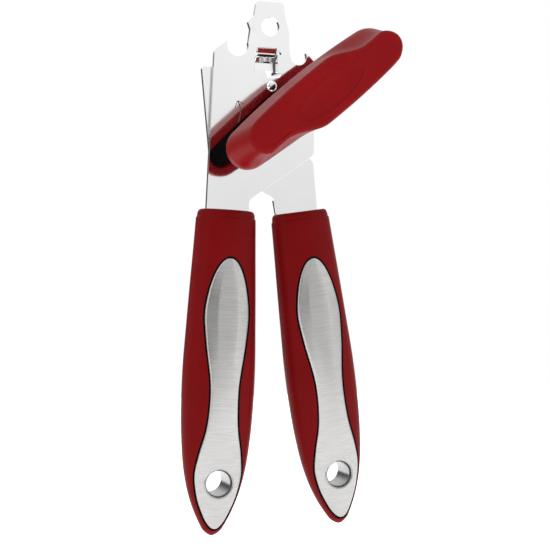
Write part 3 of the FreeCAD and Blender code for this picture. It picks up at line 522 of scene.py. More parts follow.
@dataclass
class Grip:
    """One soft grip with its steel inlay and its eyelet, upright from its top at the origin."""

    side: Side
    body: Body
    x: float
    lean: float
    z: float = -71.9
    y: float = 1.05
    length: float = 125.4
    half_width: float = 14.4
    half_depth: float = 9.4
    collar: float = 1.6
    side_round: float = 0.8
    inlay_start: float = 18.6
    inlay_end: float = 122.4
    upper_half: float = 8.8
    waist_half: float = 5.6
    lower_half: float = 9.3
    groove: float = 0.75
    groove_depth: float = 1.2
    proud: float = 0.15
    sheet: float = 0.9
    eyelet_down: float = 104.6
    eyelet_bore: float = 4.75
    eyelet_tube: float = 5.55
    eyelet_flange: float = 5.95
    eyelet_half: float = 7.1
    tip_round: float = 2.8
    crease: float = 0.46
    crown: float = 0.25
    facet_depth: float = 0.85
    facet_fade: Pair = (46.0, 22.0)
    edge_roll: Pair = (0.7, 0.42)
    skin_steps: int = 44

    SHARES = (0.0, 0.12, 0.24, 0.36, 0.48, 0.60, 0.71, 0.80, 0.87, 0.925, 0.968, 1.0)
    WIDTHS = (0.815, 0.860, 0.910, 0.955, 0.995, 0.990, 0.940, 0.845, 0.700, 0.520, 0.330, 0.165)
    DEPTHS = (0.80, 0.87, 0.94, 0.985, 1.00, 0.98, 0.91, 0.80, 0.69, 0.57, 0.42, 0.21)
    COLLAR = ((0.0, 1.9), (0.06, 1.45), (0.3, 1.0), (0.8, 0.65), (1.5, 0.42), (2.6, 0.36), (2.95, 0.30),
              (3.2, 0.08), (3.5, 0.0))
    LIP = ((0.10, 0.03), (0.19, 0.11), (0.25, 0.27))
    LIP_FADE = 0.9
    LIP_REACH = 0.25
    SEAT_SHARES = (0.85, 0.5, 0.0)
    VASE_SHARES = (0.0, 0.012, 0.055, 0.12, 0.215, 0.305, 0.49, 0.63, 0.72, 0.79, 0.87, 0.94, 0.988, 1.0)

    def size_at(self, down: np.ndarray) -> tuple[np.ndarray, np.ndarray]:
        """Half width and half depth of the grip at a distance below its top."""
        share = np.clip(down / self.length, 0, 1)
        tip = np.clip((down - self.length + self.tip_round) / self.tip_round, 0, 0.9995)
        closing = np.sqrt(1 - tip**2)
        return (self.half_width * smooth_curve(self.SHARES, self.WIDTHS, share) * closing,
                self.half_depth * smooth_curve(self.SHARES, self.DEPTHS, share) * closing)

    def oval(self, width: np.ndarray, depth: np.ndarray) -> tuple[np.ndarray, ...]:
        """Side radius, side centre, face radius and join angle of the oval section."""
        side = self.side_round * np.minimum(depth, width)
        reach = width - side
        face = (reach**2 + depth**2 - side**2) / (2 * (depth - side))
        join = np.arcsin(np.clip(reach / (face - side), -1, 1))
        return side, reach, face, join

    def along(self, width: np.ndarray, depth: np.ndarray,
              length: np.ndarray) -> tuple[np.ndarray, np.ndarray]:
        """The point of the section at a length along it, from the middle of the front face."""
        side, reach, face, join = self.oval(width, depth)
        first = face * join
        second = side * (math.pi - 2 * join)
        a = length / face
        b = join + (length - first) / side
        c = (length - first - second) / face - join
        x = np.where(length < first, face * np.sin(a),
                     np.where(length < first + second, reach + side * np.sin(b), -face * np.sin(c)))
        y = np.where(length < first, -(face * np.cos(a) - (face - depth)),
                     np.where(length < first + second, -side * np.cos(b), face * np.cos(c) - (face - depth)))
        return x, y

    def half_perimeter(self, width: np.ndarray, depth: np.ndarray) -> np.ndarray:
        """Length from the middle of the front face to the middle of the back face."""
        side, _, face, join = self.oval(width, depth)
        return 2 * face * join + side * (math.pi - 2 * join)

    def length_at(self, width: np.ndarray, depth: np.ndarray, x: np.ndarray) -> np.ndarray:
        """Length along the section from the middle of the front face to a given x."""
        side, reach, face, join = self.oval(width, depth)
        on_face = face * np.arcsin(np.clip(x / face, -1, 1))
        on_side = face * join + side * (np.arcsin(np.clip((x - reach) / side, -1, 1)) - join)
        return np.where(x < face * np.sin(join), on_face, on_side)

    def front_depth(self, down: np.ndarray, x: np.ndarray) -> np.ndarray:
        """How far the front face stands before the grip's middle at (x, down)."""
        return self.front_depth_of(*self.size_at(down), x)

    def front_depth_of(self, width: np.ndarray, depth: np.ndarray, x: np.ndarray) -> np.ndarray:
        """How far the front face of a given oval stands before its middle at x."""
        return -self.along(width, depth, self.length_at(width, depth, np.abs(x)))[1]

    def vase(self, count: int, grow: float) -> tuple[np.ndarray, np.ndarray]:
        """The inlay's outline as distances below the top and half widths.

        Args:
            count: Stations from its top to its tip.
            grow: How much larger than the inlay.

        Returns:
            The distances and the half widths.
        """
        u, w, v = self.upper_half, self.waist_half, self.lower_half
        halves = (0, 0.30 * u, 0.62 * u, 0.86 * u, u, 0.91 * u, w, 1.14 * w, 0.90 * v, v, 0.87 * v, 0.58 * v,
                  0.25 * v, 0)
        turn = np.arccos(1 - 2 * np.array(self.VASE_SHARES))
        t = np.linspace(0, math.pi, count)
        half = np.maximum(smooth_curve(turn, halves, t), 0)
        down = self.inlay_start + (self.inlay_end - self.inlay_start) * (1 - np.cos(t)) / 2
        slope_down, slope_half = np.gradient(down, t), np.gradient(half, t)
        size = np.hypot(slope_down, slope_half)
        down = down - grow * slope_half / size
        half = half + grow * slope_down / size
        down[0], down[-1] = self.inlay_start - grow, self.inlay_end + grow
        half[0] = half[-1] = 0.0
        return np.maximum.accumulate(down), half

    def placed(self, points: np.ndarray) -> np.ndarray:
        """Upright points (x, y, -down) brought to the grip's leaning place."""
        turn = math.radians(self.lean)
        x = points[..., 0] * math.cos(turn) + points[..., 2] * math.sin(turn)
        z = -points[..., 0] * math.sin(turn) + points[..., 2] * math.cos(turn)
        return np.stack([self.x + x, self.y + points[..., 1], self.z + z], -1)

    def placed_disc(self, name: str, radius: float, half: float) -> Piece:
        """A closed cylinder through the eyelet's place, as a cutter."""
        angles = np.linspace(0, 2 * math.pi, 72, endpoint=False)
        rings = np.array([[(radius * math.cos(a), y, radius * math.sin(a) - self.eyelet_down) for a in angles]
                          for y in (-half, half)])
        return rings_piece(name, self.placed(rings))

    def skin(self) -> Piece:
        """The soft grip: collar, swelling body, groove and seat for the inlay; groove and seat are dressed
        black as painted shade in the recess.
        """
        down_in, half_in = self.vase(150, self.groove)
        collar = np.array(self.COLLAR)
        head = np.concatenate([collar[:, 0], np.linspace(5.5, down_in[0] - 0.05, 12)])
        first = math.asin((down_in[-1] + 0.12 - self.length + self.tip_round) / self.tip_round)
        tail = self.length - self.tip_round + self.tip_round * np.sin(np.linspace(first, 0.49 * math.pi, 12))
        down = np.concatenate([head, down_in, tail])
        half, inset = np.zeros(len(down)), np.zeros(len(down))
        half[len(head):-len(tail)] = half_in
        inset[:len(collar)] = collar[:, 1]
        width, depth = (size - inset for size in self.size_at(down))
        scale = np.clip(half / self.LIP_FADE, 0, 1)
        start, full = self.length_at(width, depth, half), self.half_perimeter(width, depth)
        skin = [self.along(width, depth, start + (full - start) * k / self.skin_steps)
                for k in range(self.skin_steps + 1)]
        floor = np.maximum(half - self.LIP_REACH * scale, 0)
        stations = [(half - inward * scale, sunk) for inward, sunk in self.LIP]
        stations.append((half - self.LIP_REACH * scale, self.groove_depth))
        stations += [(floor * share, self.groove_depth) for share in self.SEAT_SHARES]
        seat = [(x, sunk * scale - self.front_depth_of(width, depth, x)) for x, sunk in stations]
        columns = skin + [(-x, y) for x, y in skin[-2::-1]] + [(-x, y) for x, y in seat[:-1]] + seat[::-1]
        rings = np.stack([np.stack([x, y, -down], -1) for x, y in columns], 1)
        # The groove and seat take the second material, black plastic, as painted shade in the recess.
        tags = [0] * (2 * len(skin) - 1) + [1] * (2 * len(seat) - 2) + [0]
        piece = rings_piece(f"{self.side.value}_soft_grip", self.placed(rings), tags)
        cut_by(piece, self.placed_disc("eyelet_cutter", self.eyelet_tube + 0.05, 30))
        return piece

    def inlay(self) -> Piece:
        """The brushed sheet: crowned, with a facet along each edge of its upper lobe and rolled edges."""
        down, half = self.vase(170, 0.0)
        edge = [-1, -0.985, -0.95, -0.9]
        columns = np.concatenate([edge, np.linspace(-0.84, 0.84, 37), [-share for share in edge[::-1]]])
        wide, share = half[:, None], np.abs(columns[None, :])
        x = wide * columns[None, :]
        deep = np.repeat(down[:, None], len(columns), 1)
        surface, middle, rim = (self.front_depth(deep, place * np.ones_like(x))
                                for place in (x, wide * self.crease, wide))
        tip_gap = np.minimum(down - self.inlay_start, self.inlay_end - down)[:, None]
        gap = np.minimum(wide * (1 - share), tip_gap * 1.5)
        roll_reach, roll_drop = self.edge_roll
        rolled = roll_drop * (1 - np.sqrt(np.clip(1 - (1 - np.clip(gap / roll_reach, 0, 1)) ** 2, 0, 1)))
        sloped = rim + (middle - rim) * (1 - share) / (1 - self.crease)
        flat = middle + self.crown * (1 - (share / self.crease) ** 2)
        faceted = np.where(share < self.crease, flat, sloped)
        strength = 1 - ease((deep - self.facet_fade[0]) / self.facet_fade[1])
        face = surface + (np.minimum(faceted, surface + 0.1) - surface) * strength * self.facet_depth
        front = rolled - face - self.proud
        outer = np.stack([x, front, -deep], -1)
        inner = np.stack([x * 0.995, np.maximum(self.sheet - surface, front + 0.05), -deep], -1)
        rings = np.concatenate([outer, inner[:, ::-1]], 1)
        piece = rings_piece(f"{self.side.value}_brushed_inlay", self.placed(rings))
        cut_by(piece, self.placed_disc("inlay_cutter", self.eyelet_tube + 0.02, 30))
        return piece

    def eyelet(self) -> Piece:
        """The steel tube with a rolled flange at each end."""
        half, flange = self.eyelet_half, self.eyelet_flange
        bore, tube = self.eyelet_bore, self.eyelet_tube
        front = [(bore, -half + 1.25, 0.5), (bore + 0.55, -half + 0.12, 0.25), (bore + 0.95, -half, 0.12),
                 (flange - 0.55, -half + 0.05, 0.25), (flange, -half + 0.55, 0.2), (flange, -half + 0.8, 0.0),
                 (tube, -half + 0.8, 0.0)]
        mirrored = [(r, -y, k) for r, y, k in front[::-1]]
        profile = rounded_profile([(bore, 0.0, 0.0)] + front + mirrored + [(bore, 0.0, 0.0)])
        piece = turned_piece(f"{self.side.value}_rolled_eyelet", profile[:-1], (0, 0), True, segments=96)
        places = np.array([v.co for v in piece.data.vertices]) / MM
        places[:, 2] -= self.eyelet_down
        piece.data.vertices.foreach_set("co", (self.placed(places) * MM).ravel())
        return piece

    def build(self, palette: Palette) -> None:
        """Makes and dresses the grip, its inlay and its eyelet."""
        name = self.side.value
        brushed = palette.brushed(self.side, -self.lean)
        # Black plastic on the groove and seat is painted shade round the inlay.
        finish_piece(self.skin(), self.body, [palette.grip, palette.black], [f"{name}_grip"])
        finish_piece(self.inlay(), self.body, [brushed], [f"{name}_inlay"])
        finish_piece(self.eyelet(), self.body, [palette.eyelet], [f"{name}_eyelet"])
        dress_node(f"{name}_core", palette.black)
        for number in (1, 2):
            dress_node(f"{name}_tang_pin_{number}", palette.rivet)


# ---- knob --------------------------------------------------------------------------------


@dataclass
class Knob:
    """The turning knob: a bar with a finger scoop on opposite sides of its ends and a dish on top."""

    shaft: Pair = (9.4, -29.6)
    angle: float = 39.2
    half_length: float = 39.8
    half_width: float = 9.7
    end_radius: float = 8.0
    base: float = -15.9
    height: float = 22.0
    wall: float = 3.2
    hollow: float = 9.0
    scoop: float = 4.4
    scoop_from: float = 7.0
    scoop_run: float = 16.0
    scoop_middle: float = 22.0
    scoop_taper: float = 0.3
    end_slope: float = 3.8
    round_radius: float = 1.8
    dish_drop: float = 1.0
    dish_length: float = 17.0
    dish_width: float = 5.4
    dish_depth: float = 1.3
    dish_step: float = 0.36
    scoop_start: float = 0.10
    scoop_full: float = 0.75
    scoop_power: float = 1.3
    slope_start: float = 0.2
    slope_from: float = 26.0
    slope_run: float = 12.0
    around: int = 240

    UNDERSIDE = ((-0.15, 0.1), (-0.5, 0.0))
    FOOT = ((0.7, 0.0), (0.3, 0.08), (0.08, 0.3), (0.0, 0.7))
    DISH_EDGE = ((0.992, -0.06), (0.982, -0.02), (0.965, 0.22))
    BOWL_SHARES = (0.93, 0.86, 0.75, 0.6, 0.42, 0.22, 0.06)

    def outline(self, inset: float) -> np.ndarray:
        """Points of the base outline, moved in by inset."""
        reach = self.half_length - self.end_radius
        bulge = ((reach**2 + self.half_width**2 - self.end_radius**2)
                 / (2 * (self.half_width - self.end_radius)))
        join = math.atan2(bulge - self.half_width, reach)
        end_run = 2 * join * self.end_radius
        total = 2 * (end_run + (math.pi - 2 * join) * bulge)
        places = []
        for k in range(self.around):
            run = (k / self.around * total + end_run / 2) % total
            half_turn, run = divmod(run, total / 2)
            if run < end_run:
                a, centre, radius = -join + run / self.end_radius, (reach, 0.0), self.end_radius
            else:
                a, centre, radius = join + (run - end_run) / bulge, (0.0, self.half_width - bulge), bulge
            sign = -1 if half_turn else 1
            places.append((sign * (centre[0] + (radius - inset) * math.cos(a)),
                           sign * (centre[1] + (radius - inset) * math.sin(a))))
        return np.array(places)

    def wall_at(self, level: float) -> np.ndarray:
        """The outline at a level between the base (0) and the top (1), scooped and sloped."""
        u, v = self.outline(0.0).T.copy()
        height = min(max((level - self.scoop_start) / self.scoop_full, 0.0), 1.0)
        rise = math.sin(0.5 * math.pi * height) ** self.scoop_power
        for sign in (1, -1):
            along = ease((sign * u - self.scoop_from) / self.scoop_run)
            along *= 1 - self.scoop_taper * ease((sign * u - self.scoop_middle) / self.scoop_run)
            across = np.clip((sign * v + self.end_radius) / (2 * self.end_radius), 0, 1)
            v -= sign * self.scoop * rise * along * across
        lean = self.end_slope * max(0.0, level - self.slope_start) / (1 - self.slope_start)
        u -= np.sign(u) * lean * ease((np.abs(u) - self.slope_from) / self.slope_run)
        return np.stack([u, v], -1)

    def placed(self, flat: np.ndarray, depth: np.ndarray) -> np.ndarray:
        """Knob points (u, v) at a depth, turned to the resting angle about the shaft."""
        turn = math.radians(self.angle)
        x = self.shaft[0] + flat[:, 0] * math.cos(turn) - flat[:, 1] * math.sin(turn)
        z = self.shaft[1] + flat[:, 0] * math.sin(turn) + flat[:, 1] * math.cos(turn)
        return np.stack([x, depth, z], -1)

    def shell(self) -> Piece:
        """The red shell, from the ceiling of its hollow underside to the middle of its dish."""
        top = self.base - self.height + 0.06
        one = np.ones(self.around)
        ceiling = self.base - self.hollow
        rings = [self.placed(self.outline(self.wall) * 0.5, ceiling * one)]
        foot = [(self.wall, ceiling), (self.wall, self.base - 0.4)]
        foot += [(self.wall + inset, self.base - rise) for inset, rise in self.UNDERSIDE]
        foot += [(inset, self.base - rise) for inset, rise in self.FOOT]
        rings += [self.placed(self.outline(inset), depth * one) for inset, depth in foot]
        straight = 1 - self.round_radius / self.height
        for level in np.linspace(0.08, straight, 18):
            rings.append(self.placed(self.wall_at(level), (self.base - level * self.height) * one))
        brow = self.wall_at(straight)
        normal = self.inward_of(brow)
        for a in np.linspace(0, math.pi / 2, 8)[1:]:
            flat = brow + normal * (self.round_radius * (1 - math.cos(a)))
            rings.append(self.placed(flat, (top + self.round_radius * (1 - math.sin(a))) * one))
        edge = brow + normal * self.round_radius
        theta = np.unwrap(np.arctan2(edge[:, 1] / self.dish_width, edge[:, 0] / self.dish_length))
        spaced = np.linspace(theta[0], theta[0] + 2 * math.pi, self.around, endpoint=False)
        theta = 0.35 * theta + 0.65 * spaced
        rim = np.stack([self.dish_length * np.cos(theta), self.dish_width * np.sin(theta)], -1)
        middle = np.array([0.0, -self.dish_drop])
        for t in np.linspace(0, 1, 9)[1:]:
            rings.append(self.placed(edge + (rim + middle - edge) * t, top * one))
        bowl = [*self.DISH_EDGE, (0.955, self.dish_step)]
        sag = self.dish_depth - self.dish_step
        bowl += [(share, self.dish_step + sag * math.cos(0.5 * math.pi * share)) for share in self.BOWL_SHARES]
        rings += [self.placed(rim * scale + middle, (top + sunk) * one) for scale, sunk in bowl]
        return rings_piece("knob_shell", np.array(rings))

    def inward_of(self, flat: np.ndarray) -> np.ndarray:
        """Inward directions of a closed outline that runs anticlockwise."""
        run = np.roll(flat, -1, 0) - np.roll(flat, 1, 0)
        normal = np.stack([-run[:, 1], run[:, 0]], -1)
        normal /= np.linalg.norm(normal, axis=1)[:, None]
        for _ in range(6):
            normal = (np.roll(normal, 1, 0) + 2 * normal + np.roll(normal, -1, 0)) / 4
        return normal / np.linalg.norm(normal, axis=1)[:, None]

    def build(self, palette: Palette) -> None:
        """Makes and dresses the knob and its black hub."""
        finish_piece(self.shell(), Body.DRIVE, [palette.knob], ["knob"])
        dress_node("knob_core", palette.black)


# ---- plates, rivets and drive ------------------------------------------------------------


@dataclass
class Plates:
    """The two crossing steel plates, their rivets and the engraved arrow."""

    pivot: Pair = (-3.3, -46.8)
    stop: Pair = (0.7, -23.1)
    cutter: Pair = (-6.6865, -29.8866)
    front_face: float = -0.9
    rear_face: float = 1.2
    rear_back: float = 3.0
    arrow_middle: Pair = (-20.9, -33.8)
    arrow_radius: float = 8.6
    arrow_line: float = 0.85
    arrow_turns: Pair = (-28.0, 30.0)
    lip_path: tuple[Triple, ...] = (
        (0.0, -7.6, 0.0), (0.0, -8.3, 0.35), (1.0, -11.2, 0.4), (3.9, -13.4, 0.4), (3.2, -17.0, 0.0))
    lip_sides: Pair = (-5.2, 2.6)
    lip_sheet: float = 0.9
    lip_soft: float = 0.25
    lip_boxes: tuple[tuple[tuple[float, ...], tuple[float, ...]], ...] = (
        ((-5.4, -2.0, -10.8), (2.8, 4.0, -8.25)), ((-5.4, 0.98, -8.4), (2.8, 4.0, -6.9)))

    def pivot_rivet(self) -> Piece:
        """The rivet that both arms turn on, with a low domed head at each end."""
        front, back = self.front_face - 1.1, self.rear_back + 0.05
        corners = [(0, front, 0), (3.4, front + 0.02, 1.2), (5.2, self.front_face - 0.25, 0.3),
                   (5.2, self.front_face, 0), (3.0, self.front_face, 0), (3.0, back, 0), (5.2, back, 0),
                   (5.2, back + 0.25, 0.3), (3.4, back + 1.08, 1.2), (0, back + 1.1, 0)]
        return turned_piece("domed_pivot_rivet", rounded_profile(corners), self.pivot)

    def stop_pin(self) -> Piece:
        """The small domed pin that stops the arms when they close."""
        crown = self.front_face - 0.9
        corners = [(0, crown, 0), (1.1, crown + 0.05, 0.55), (2.1, self.front_face - 0.2, 0.25),
                   (2.1, self.front_face, 0), (1.5, self.front_face, 0), (1.5, self.rear_back, 0),
                   (0, self.rear_back, 0)]
        return turned_piece("domed_stop_pin", rounded_profile(corners), self.stop)

    def cutter_stud(self) -> Piece:
        """The stud that the cutter wheel spins on."""
        face, back = 7.35, 8.45
        corners = [(0, self.rear_face, 0), (2.5, self.rear_face, 0), (2.5, face, 0), (4.2, face, 0),
                   (4.2, face + 0.3, 0.2), (3.2, back, 0.6), (0.9, back, 0), (0.6, back - 0.25, 0.1),
                   (0, back - 0.3, 0)]
        return turned_piece("cutter_stud_head", rounded_profile(corners), self.cutter)

    def arrow(self, palette: Palette) -> Piece:
        """A curved arrow cut in the front plate, as a thin dark line of painted shade for its groove that
        follows its path.
        """
        start, end = (math.radians(turn) for turn in self.arrow_turns)
        points = [(self.arrow_radius * math.cos(a), self.arrow_radius * math.sin(a))
                  for a in np.linspace(start, end, 19)]
        tip = points[-1]
        barbs = [(tip[0] + 2.6, tip[1] - 1.2), tip, (tip[0] - 1.2, tip[1] - 2.9)]
        curve = bpy.data.curves.new("arrow_path", "CURVE")
        curve.dimensions = "3D"
        for run in (points, barbs):
            spline = curve.splines.new("POLY")
            spline.points.add(len(run) - 1)
            for spot, (x, z) in zip(spline.points, run):
                spot.co = ((self.arrow_middle[0] + x) * MM, self.front_face * MM,
                           (self.arrow_middle[1] + z) * MM, 1)
        path = bpy.data.objects.new("arrow_path", curve)
        bpy.context.scene.collection.objects.link(path)
        piece = bpy.data.objects.new("engraved_arrow", bpy.data.meshes.new("engraved_arrow"))
        bpy.context.scene.collection.objects.link(piece)
        LineTree(palette.engraving_painted_shade).run(piece, {"Path": path, "Line width": self.arrow_line * MM})
        bpy.data.objects.remove(path)
        return piece

    def window_lip(self) -> Piece:
        """The sheet bent back from the top edge of the window, as one tab of even thickness."""
        path = np.array(rounded_profile(self.lip_path))
        along = np.gradient(path, axis=0)
        along /= np.linalg.norm(along, axis=1)[:, None]
        left, right = self.lip_sides
        half, soft = self.lip_sheet / 2, self.lip_soft
        section = ((left, -half + soft), (left + soft, -half), (right - soft, -half), (right, -half + soft),
                   (right, half - soft), (right - soft, half), (left + soft, half), (left, half - soft))
        rings = np.array([[(x, py + across * -dz, pz + across * dy) for x, across in section]
                          for (py, pz), (dy, dz) in zip(path, along)])
        piece = rings_piece("bent_window_lip", rings)
        piece.data.set_sharp_from_angle(angle=BROKEN)
        return piece

    def build(self, palette: Palette) -> None:
        """Makes and dresses the plates and what is riveted to them."""
        front = merged_copy("front_plate", "front_plate_polished", 0.16)
        for low, high in self.lip_boxes:
            cut_by(front, box_piece("lip_room", low, high))
        front.data.set_sharp_from_angle(angle=SHADED)
        finish_piece(self.window_lip(), Body.LEFT_ARM, [palette.polished])
        finish_piece(front, Body.LEFT_ARM, [palette.polished], ["front_plate"])
        rear = merged_copy("rear_plate", "rear_plate_polished", 0.16)
        finish_piece(rear, Body.RIGHT_ARM, [palette.polished], ["rear_plate"])
        finish_piece(self.pivot_rivet(), Body.LEFT_ARM, [palette.rivet], ["pivot_rivet"])
        finish_piece(self.stop_pin(), Body.LEFT_ARM, [palette.rivet], ["closing_stop_pin"])
        finish_piece(self.cutter_stud(), Body.RIGHT_ARM, [palette.rivet], ["cutter_stud"])
        # The arrow is a dark bar of painted shade laid on the front face, not a cut groove.
        finish_piece(self.arrow(palette), Body.LEFT_ARM, [palette.engraving_painted_shade])
        for node in ("pivot_washer", "opening_stop_pin", "cutter_washer", "shaft_bushing", "spring_washer"):
            dress_node(node, palette.rivet)


class PieceTree(Web):
    """A Geometry Nodes tree that makes plain mesh, with its inputs set by socket identifier."""

    def __init__(self, name: str, sockets: Sequence[tuple[str, str]]) -> None:
        """Starts the tree.

        Args:
            name: Its name.
            sockets: Label and kind of each input.
        """
        super().__init__(bpy.data.node_groups.new(name, "GeometryNodeTree"))
        face = self.tree.interface
        self.ids = {label: face.new_socket(label, in_out="INPUT", socket_type=f"NodeSocket{kind}").identifier
                    for label, kind in sockets}
        face.new_socket("Geometry", in_out="OUTPUT", socket_type="NodeSocketGeometry")
        self.entry = self.node("NodeGroupInput").outputs

    def close(self, made: Socket, material: Material) -> None:
        """Ends the tree: the result is realised and dressed."""
        real = self.node("GeometryNodeRealizeInstances", {"Geometry": made})
        paint = self.node("GeometryNodeSetMaterial", {"Geometry": real.outputs[0], "Material": material})
        self.node("NodeGroupOutput", {"Geometry": paint.outputs[0]})

    def run(self, piece: Piece, values: dict[str, object]) -> Piece:
        """Runs the tree on a piece and keeps the result as plain mesh."""
        grow = piece.modifiers.new(self.tree.name, "NODES")
        grow.node_group = self.tree
        for label, value in values.items():
            grow[self.ids[label]] = value
        return realised(piece)


class LineTree(PieceTree):
    """Runs a flat bar along a path."""

    HEIGHT = 0.00008

    def __init__(self, material: Material) -> None:
        """Builds the tree, with the bar's finish."""
        super().__init__("line_along_path", (("Path", "Object"), ("Line width", "Float")))
        info = self.node("GeometryNodeObjectInfo", {"Object": self.entry["Path"]}, transform_space="ORIGINAL")
        section = self.node("GeometryNodeCurvePrimitiveQuadrilateral",
                            {"Width": self.entry["Line width"], "Height": self.HEIGHT})
        bar = self.node("GeometryNodeCurveToMesh", {
            "Curve": info.outputs["Geometry"], "Profile Curve": section.outputs["Curve"], "Fill Caps": True})
        self.close(bar.outputs["Mesh"], material)


class ToothTree(PieceTree):
    """Sets teeth round a wheel whose axis lies along Y; sizes are in metres."""

    BASE_SHARE = 0.6
    POINT_RADIUS = 0.0001

    def __init__(self, material: Material) -> None:
        """Builds the tree, with the wheel's finish."""
        super().__init__("teeth_round_wheel", (
            ("Disc", "Geometry"), ("Teeth", "Int"), ("Root radius", "Float"), ("Tooth size", "Float"),
            ("Thickness", "Float"), ("Centre", "Vector")))
        entry = self.entry
        index = self.node("GeometryNodeInputIndex").outputs[0]
        angle = self.sum_of("MULTIPLY", self.sum_of("DIVIDE", index, entry["Teeth"]), 2 * math.pi)
        spot = self.node("ShaderNodeCombineXYZ", {"X": self.sum_of("SINE", angle),
                                                  "Z": self.sum_of("COSINE", angle)})
        reach = self.node("ShaderNodeVectorMath", operation="SCALE",
                          inputs={0: spot.outputs[0], "Scale": entry["Root radius"]})
        place = self.node("ShaderNodeVectorMath", operation="ADD",
                          inputs={0: reach.outputs[0], 1: entry["Centre"]})
        points = self.node("GeometryNodePoints", {"Count": entry["Teeth"]})
        moved = self.node("GeometryNodeSetPosition", {"Geometry": points.outputs[0],
                                                      "Position": place.outputs[0]})
        tooth = self.node("GeometryNodeMeshCone", {
            "Vertices": 4, "Depth": entry["Tooth size"], "Radius Top": self.POINT_RADIUS,
            "Radius Bottom": self.sum_of("MULTIPLY", entry["Tooth size"], self.BASE_SHARE)})
        ratio = self.sum_of("DIVIDE", entry["Thickness"], entry["Tooth size"])
        stretch = self.node("ShaderNodeCombineXYZ", {"X": 1.0, "Y": ratio, "Z": 1.0})
        upright = self.node("GeometryNodeTransform", {
            "Geometry": tooth.outputs["Mesh"], "Rotation": (0, 0, math.pi / 4), "Scale": stretch.outputs[0]})
        turn = self.node("ShaderNodeCombineXYZ", {"Y": angle})
        put = self.node("GeometryNodeInstanceOnPoints", {
            "Points": moved.outputs[0], "Instance": upright.outputs[0], "Rotation": turn.outputs[0]})
        join = self.node("GeometryNodeJoinGeometry", {0: entry["Disc"]})
        self.feed(join, {0: put.outputs[0]})
        self.close(join.outputs[0], material)


@dataclass
class Drive:
    """The feed wheel with its teeth, its nut and shaft, and the cutter wheel."""

    shaft: Pair = (9.4, -29.6)
    face: float = 3.35
    back: float = 5.55
    root: float = 5.5
    tip: float = 6.2
    hole: float = 2.2
    teeth: int = 22

    def feed_wheel(self, palette: Palette) -> Piece:
        """A ground disc with a ring of pointed teeth."""
        middle = (self.face + self.back) / 2
        profile = rounded_profile([(self.hole, middle, 0), (self.hole, self.face, 0.15),
                                   (self.root, self.face, 0.3), (self.root, self.back, 0.3),
                                   (self.hole, self.back, 0.15), (self.hole, middle, 0)])
        disc = turned_piece("toothed_feed_wheel", profile[:-1], self.shaft, closed=True)
        size = self.tip - self.root + 0.5
        reach = self.tip - size / 2
        return ToothTree(palette.ground).run(disc, {
            "Teeth": self.teeth, "Root radius": reach * MM, "Tooth size": size * MM,
            "Thickness": (self.back - self.face - 0.1) * MM,
            "Centre": (self.shaft[0] * MM, middle * MM, self.shaft[1] * MM)})

    def build(self, palette: Palette) -> None:
        """Makes and dresses the drive's back end and the cutter."""
        wheel = self.feed_wheel(palette)
        finish_piece(wheel, Body.DRIVE, [palette.ground], ["feed_wheel"])
        for node in ("drive_shaft", "cutter_wheel"):
            dress_node(node, palette.ground)
        dress_node("feed_nut", palette.rivet)


# ---- studio ------------------------------------------------------------------------------


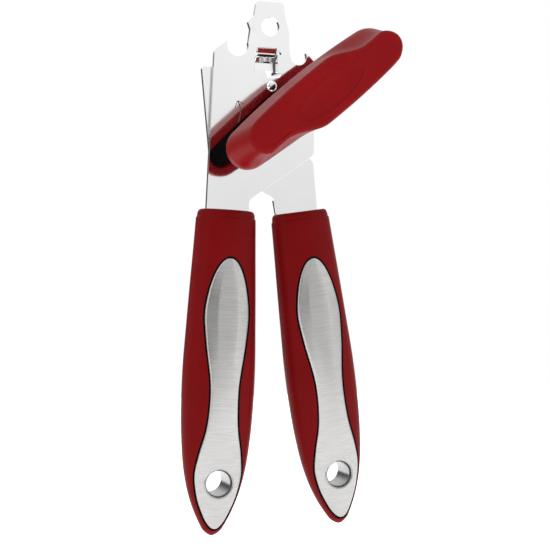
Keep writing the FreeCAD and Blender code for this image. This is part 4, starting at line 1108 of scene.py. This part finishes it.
@dataclass
class Studio:
    """Pale floor, soft lights, white surroundings and the camera. Sizes are in metres."""

    aim: Triple = (0.00231, 0.0, -0.09692)
    distance: float = 0.480
    yaw: float = 20.5
    lens: float = 80.2
    floor_gap: float = 0.03
    front_light: float = 1.24
    back_light: float = 0.1
    low_light: float = 1.0
    card_light: float = 0.3
    card_turn: float = 12.0
    card_edge: Pair = (0.90, 0.985)
    floor_half: float = 0.8
    floor_glow: float = 0.62
    horizon: Pair = (0.0, 0.2)

    LIGHTS = (("key", (-0.75, -0.55, 0.25), (0.25, 0.9), 0.9), ("fill", (0.7, -0.6, 0.1), (0.5, 0.9), 0.5),
              ("top", (0.0, -0.2, 0.8), (0.8, 0.6), 0.8))

    def floor(self) -> None:
        """A wide pale floor below the grips."""
        z, half = CAD_BOX[0].z - self.floor_gap, self.floor_half
        mesh = bpy.data.meshes.new("floor")
        corners = [(-half, -half, z), (half, -half, z), (half, half, z), (-half, half, z)]
        mesh.from_pydata(corners, [], [(0, 1, 2, 3)])
        floor = bpy.data.objects.new("floor", mesh)
        bpy.context.scene.collection.objects.link(floor)
        recipe = Recipe("pale_floor")
        recipe.set(Roughness=0.9, Specular_IOR_Level=0.1, Base_Color=(0.9, 0.9, 0.9, 1),
                   Emission_Color=(1, 1, 1, 1), Emission_Strength=self.floor_glow)
        mesh.materials.append(recipe.material)

    def surroundings(self) -> None:
        """White behind the object; a soft studio for its reflections."""
        world = bpy.data.worlds.new("studio")
        world.use_nodes = True
        bpy.context.scene.world = world
        web = Web(world.node_tree)
        web.tree.nodes.clear()
        place = web.node("ShaderNodeTexCoord").outputs["Generated"]
        height = web.node("ShaderNodeSeparateXYZ", {0: place}).outputs["Z"]
        strength = web.spread(height, self.horizon, (self.low_light, self.front_light))
        for turn, dark in ((self.yaw + self.card_turn, self.card_light), (180 - self.yaw, self.back_light)):
            strength = self.shaded(web, place, math.radians(turn), dark, strength)
        lit = web.node("ShaderNodeBackground", {"Strength": strength}).outputs[0]
        seen = web.node("ShaderNodeBackground", {"Color": (1, 1, 1, 1)}).outputs[0]
        camera_ray = web.node("ShaderNodeLightPath").outputs["Is Camera Ray"]
        mix = web.node("ShaderNodeMixShader", {"Fac": camera_ray, 1: lit, 2: seen}).outputs[0]
        web.node("ShaderNodeOutputWorld", {"Surface": mix})

    def shaded(self, web: Web, place: Socket, turn: float, dark: float, strength: Socket) -> Socket:
        """The surroundings' strength with a dark card in the direction turned from -Y by an angle."""
        near = web.node("ShaderNodeVectorMath", {0: place, 1: (-math.sin(turn), -math.cos(turn), 0)},
                        operation="DOT_PRODUCT").outputs["Value"]
        return web.sum_of("MULTIPLY", strength, web.spread(near, self.card_edge, (1.0, dark)))

    def light(self, name: str, place: Triple, size: Pair, power: float) -> None:
        """A soft rectangular light that faces the object."""
        data = bpy.data.lights.new(name, "AREA")
        data.shape = "RECTANGLE"
        data.size, data.size_y = size
        data.energy = power
        lamp = bpy.data.objects.new(name, data)
        lamp.location = place
        lamp.rotation_euler = (Vector(self.aim) - Vector(place)).to_track_quat("-Z", "Y").to_euler()
        bpy.context.scene.collection.objects.link(lamp)

    def camera(self) -> None:
        """The camera, level with the middle of the object and a little to its left."""
        data = bpy.data.cameras.new("camera")
        data.lens = self.lens
        data.sensor_width = 36.0
        data.clip_start, data.clip_end = 0.01, 20
        camera = bpy.data.objects.new("camera", data)
        turn = math.radians(self.yaw)
        camera.location = Vector(self.aim) + self.distance * Vector((-math.sin(turn), -math.cos(turn), 0))
        camera.rotation_euler = Euler((math.pi / 2, 0, -turn))
        bpy.context.scene.collection.objects.link(camera)
        bpy.context.scene.camera = camera

    def build(self) -> None:
        """Sets up the whole studio."""
        self.floor()
        self.surroundings()
        for name, place, size, power in self.LIGHTS:
            self.light(name, place, size, power)
        self.camera()
        view = bpy.context.scene.view_settings
        view.view_transform = "Standard"
        view.look = "None"


def main() -> None:
    """Builds the can opener and its studio."""
    logging.basicConfig(level=logging.INFO, format="%(message)s")
    palette = Palette()
    Studio().build()
    Plates().build(palette)
    Drive().build(palette)
    Knob().build(palette)
    Grip(Side.LEFT, Body.LEFT_ARM, x=-17.4, lean=2.8).build(palette)
    Grip(Side.RIGHT, Body.RIGHT_ARM, x=12.9, lean=-7.9).build(palette)


if __name__ == "__main__":
    main()
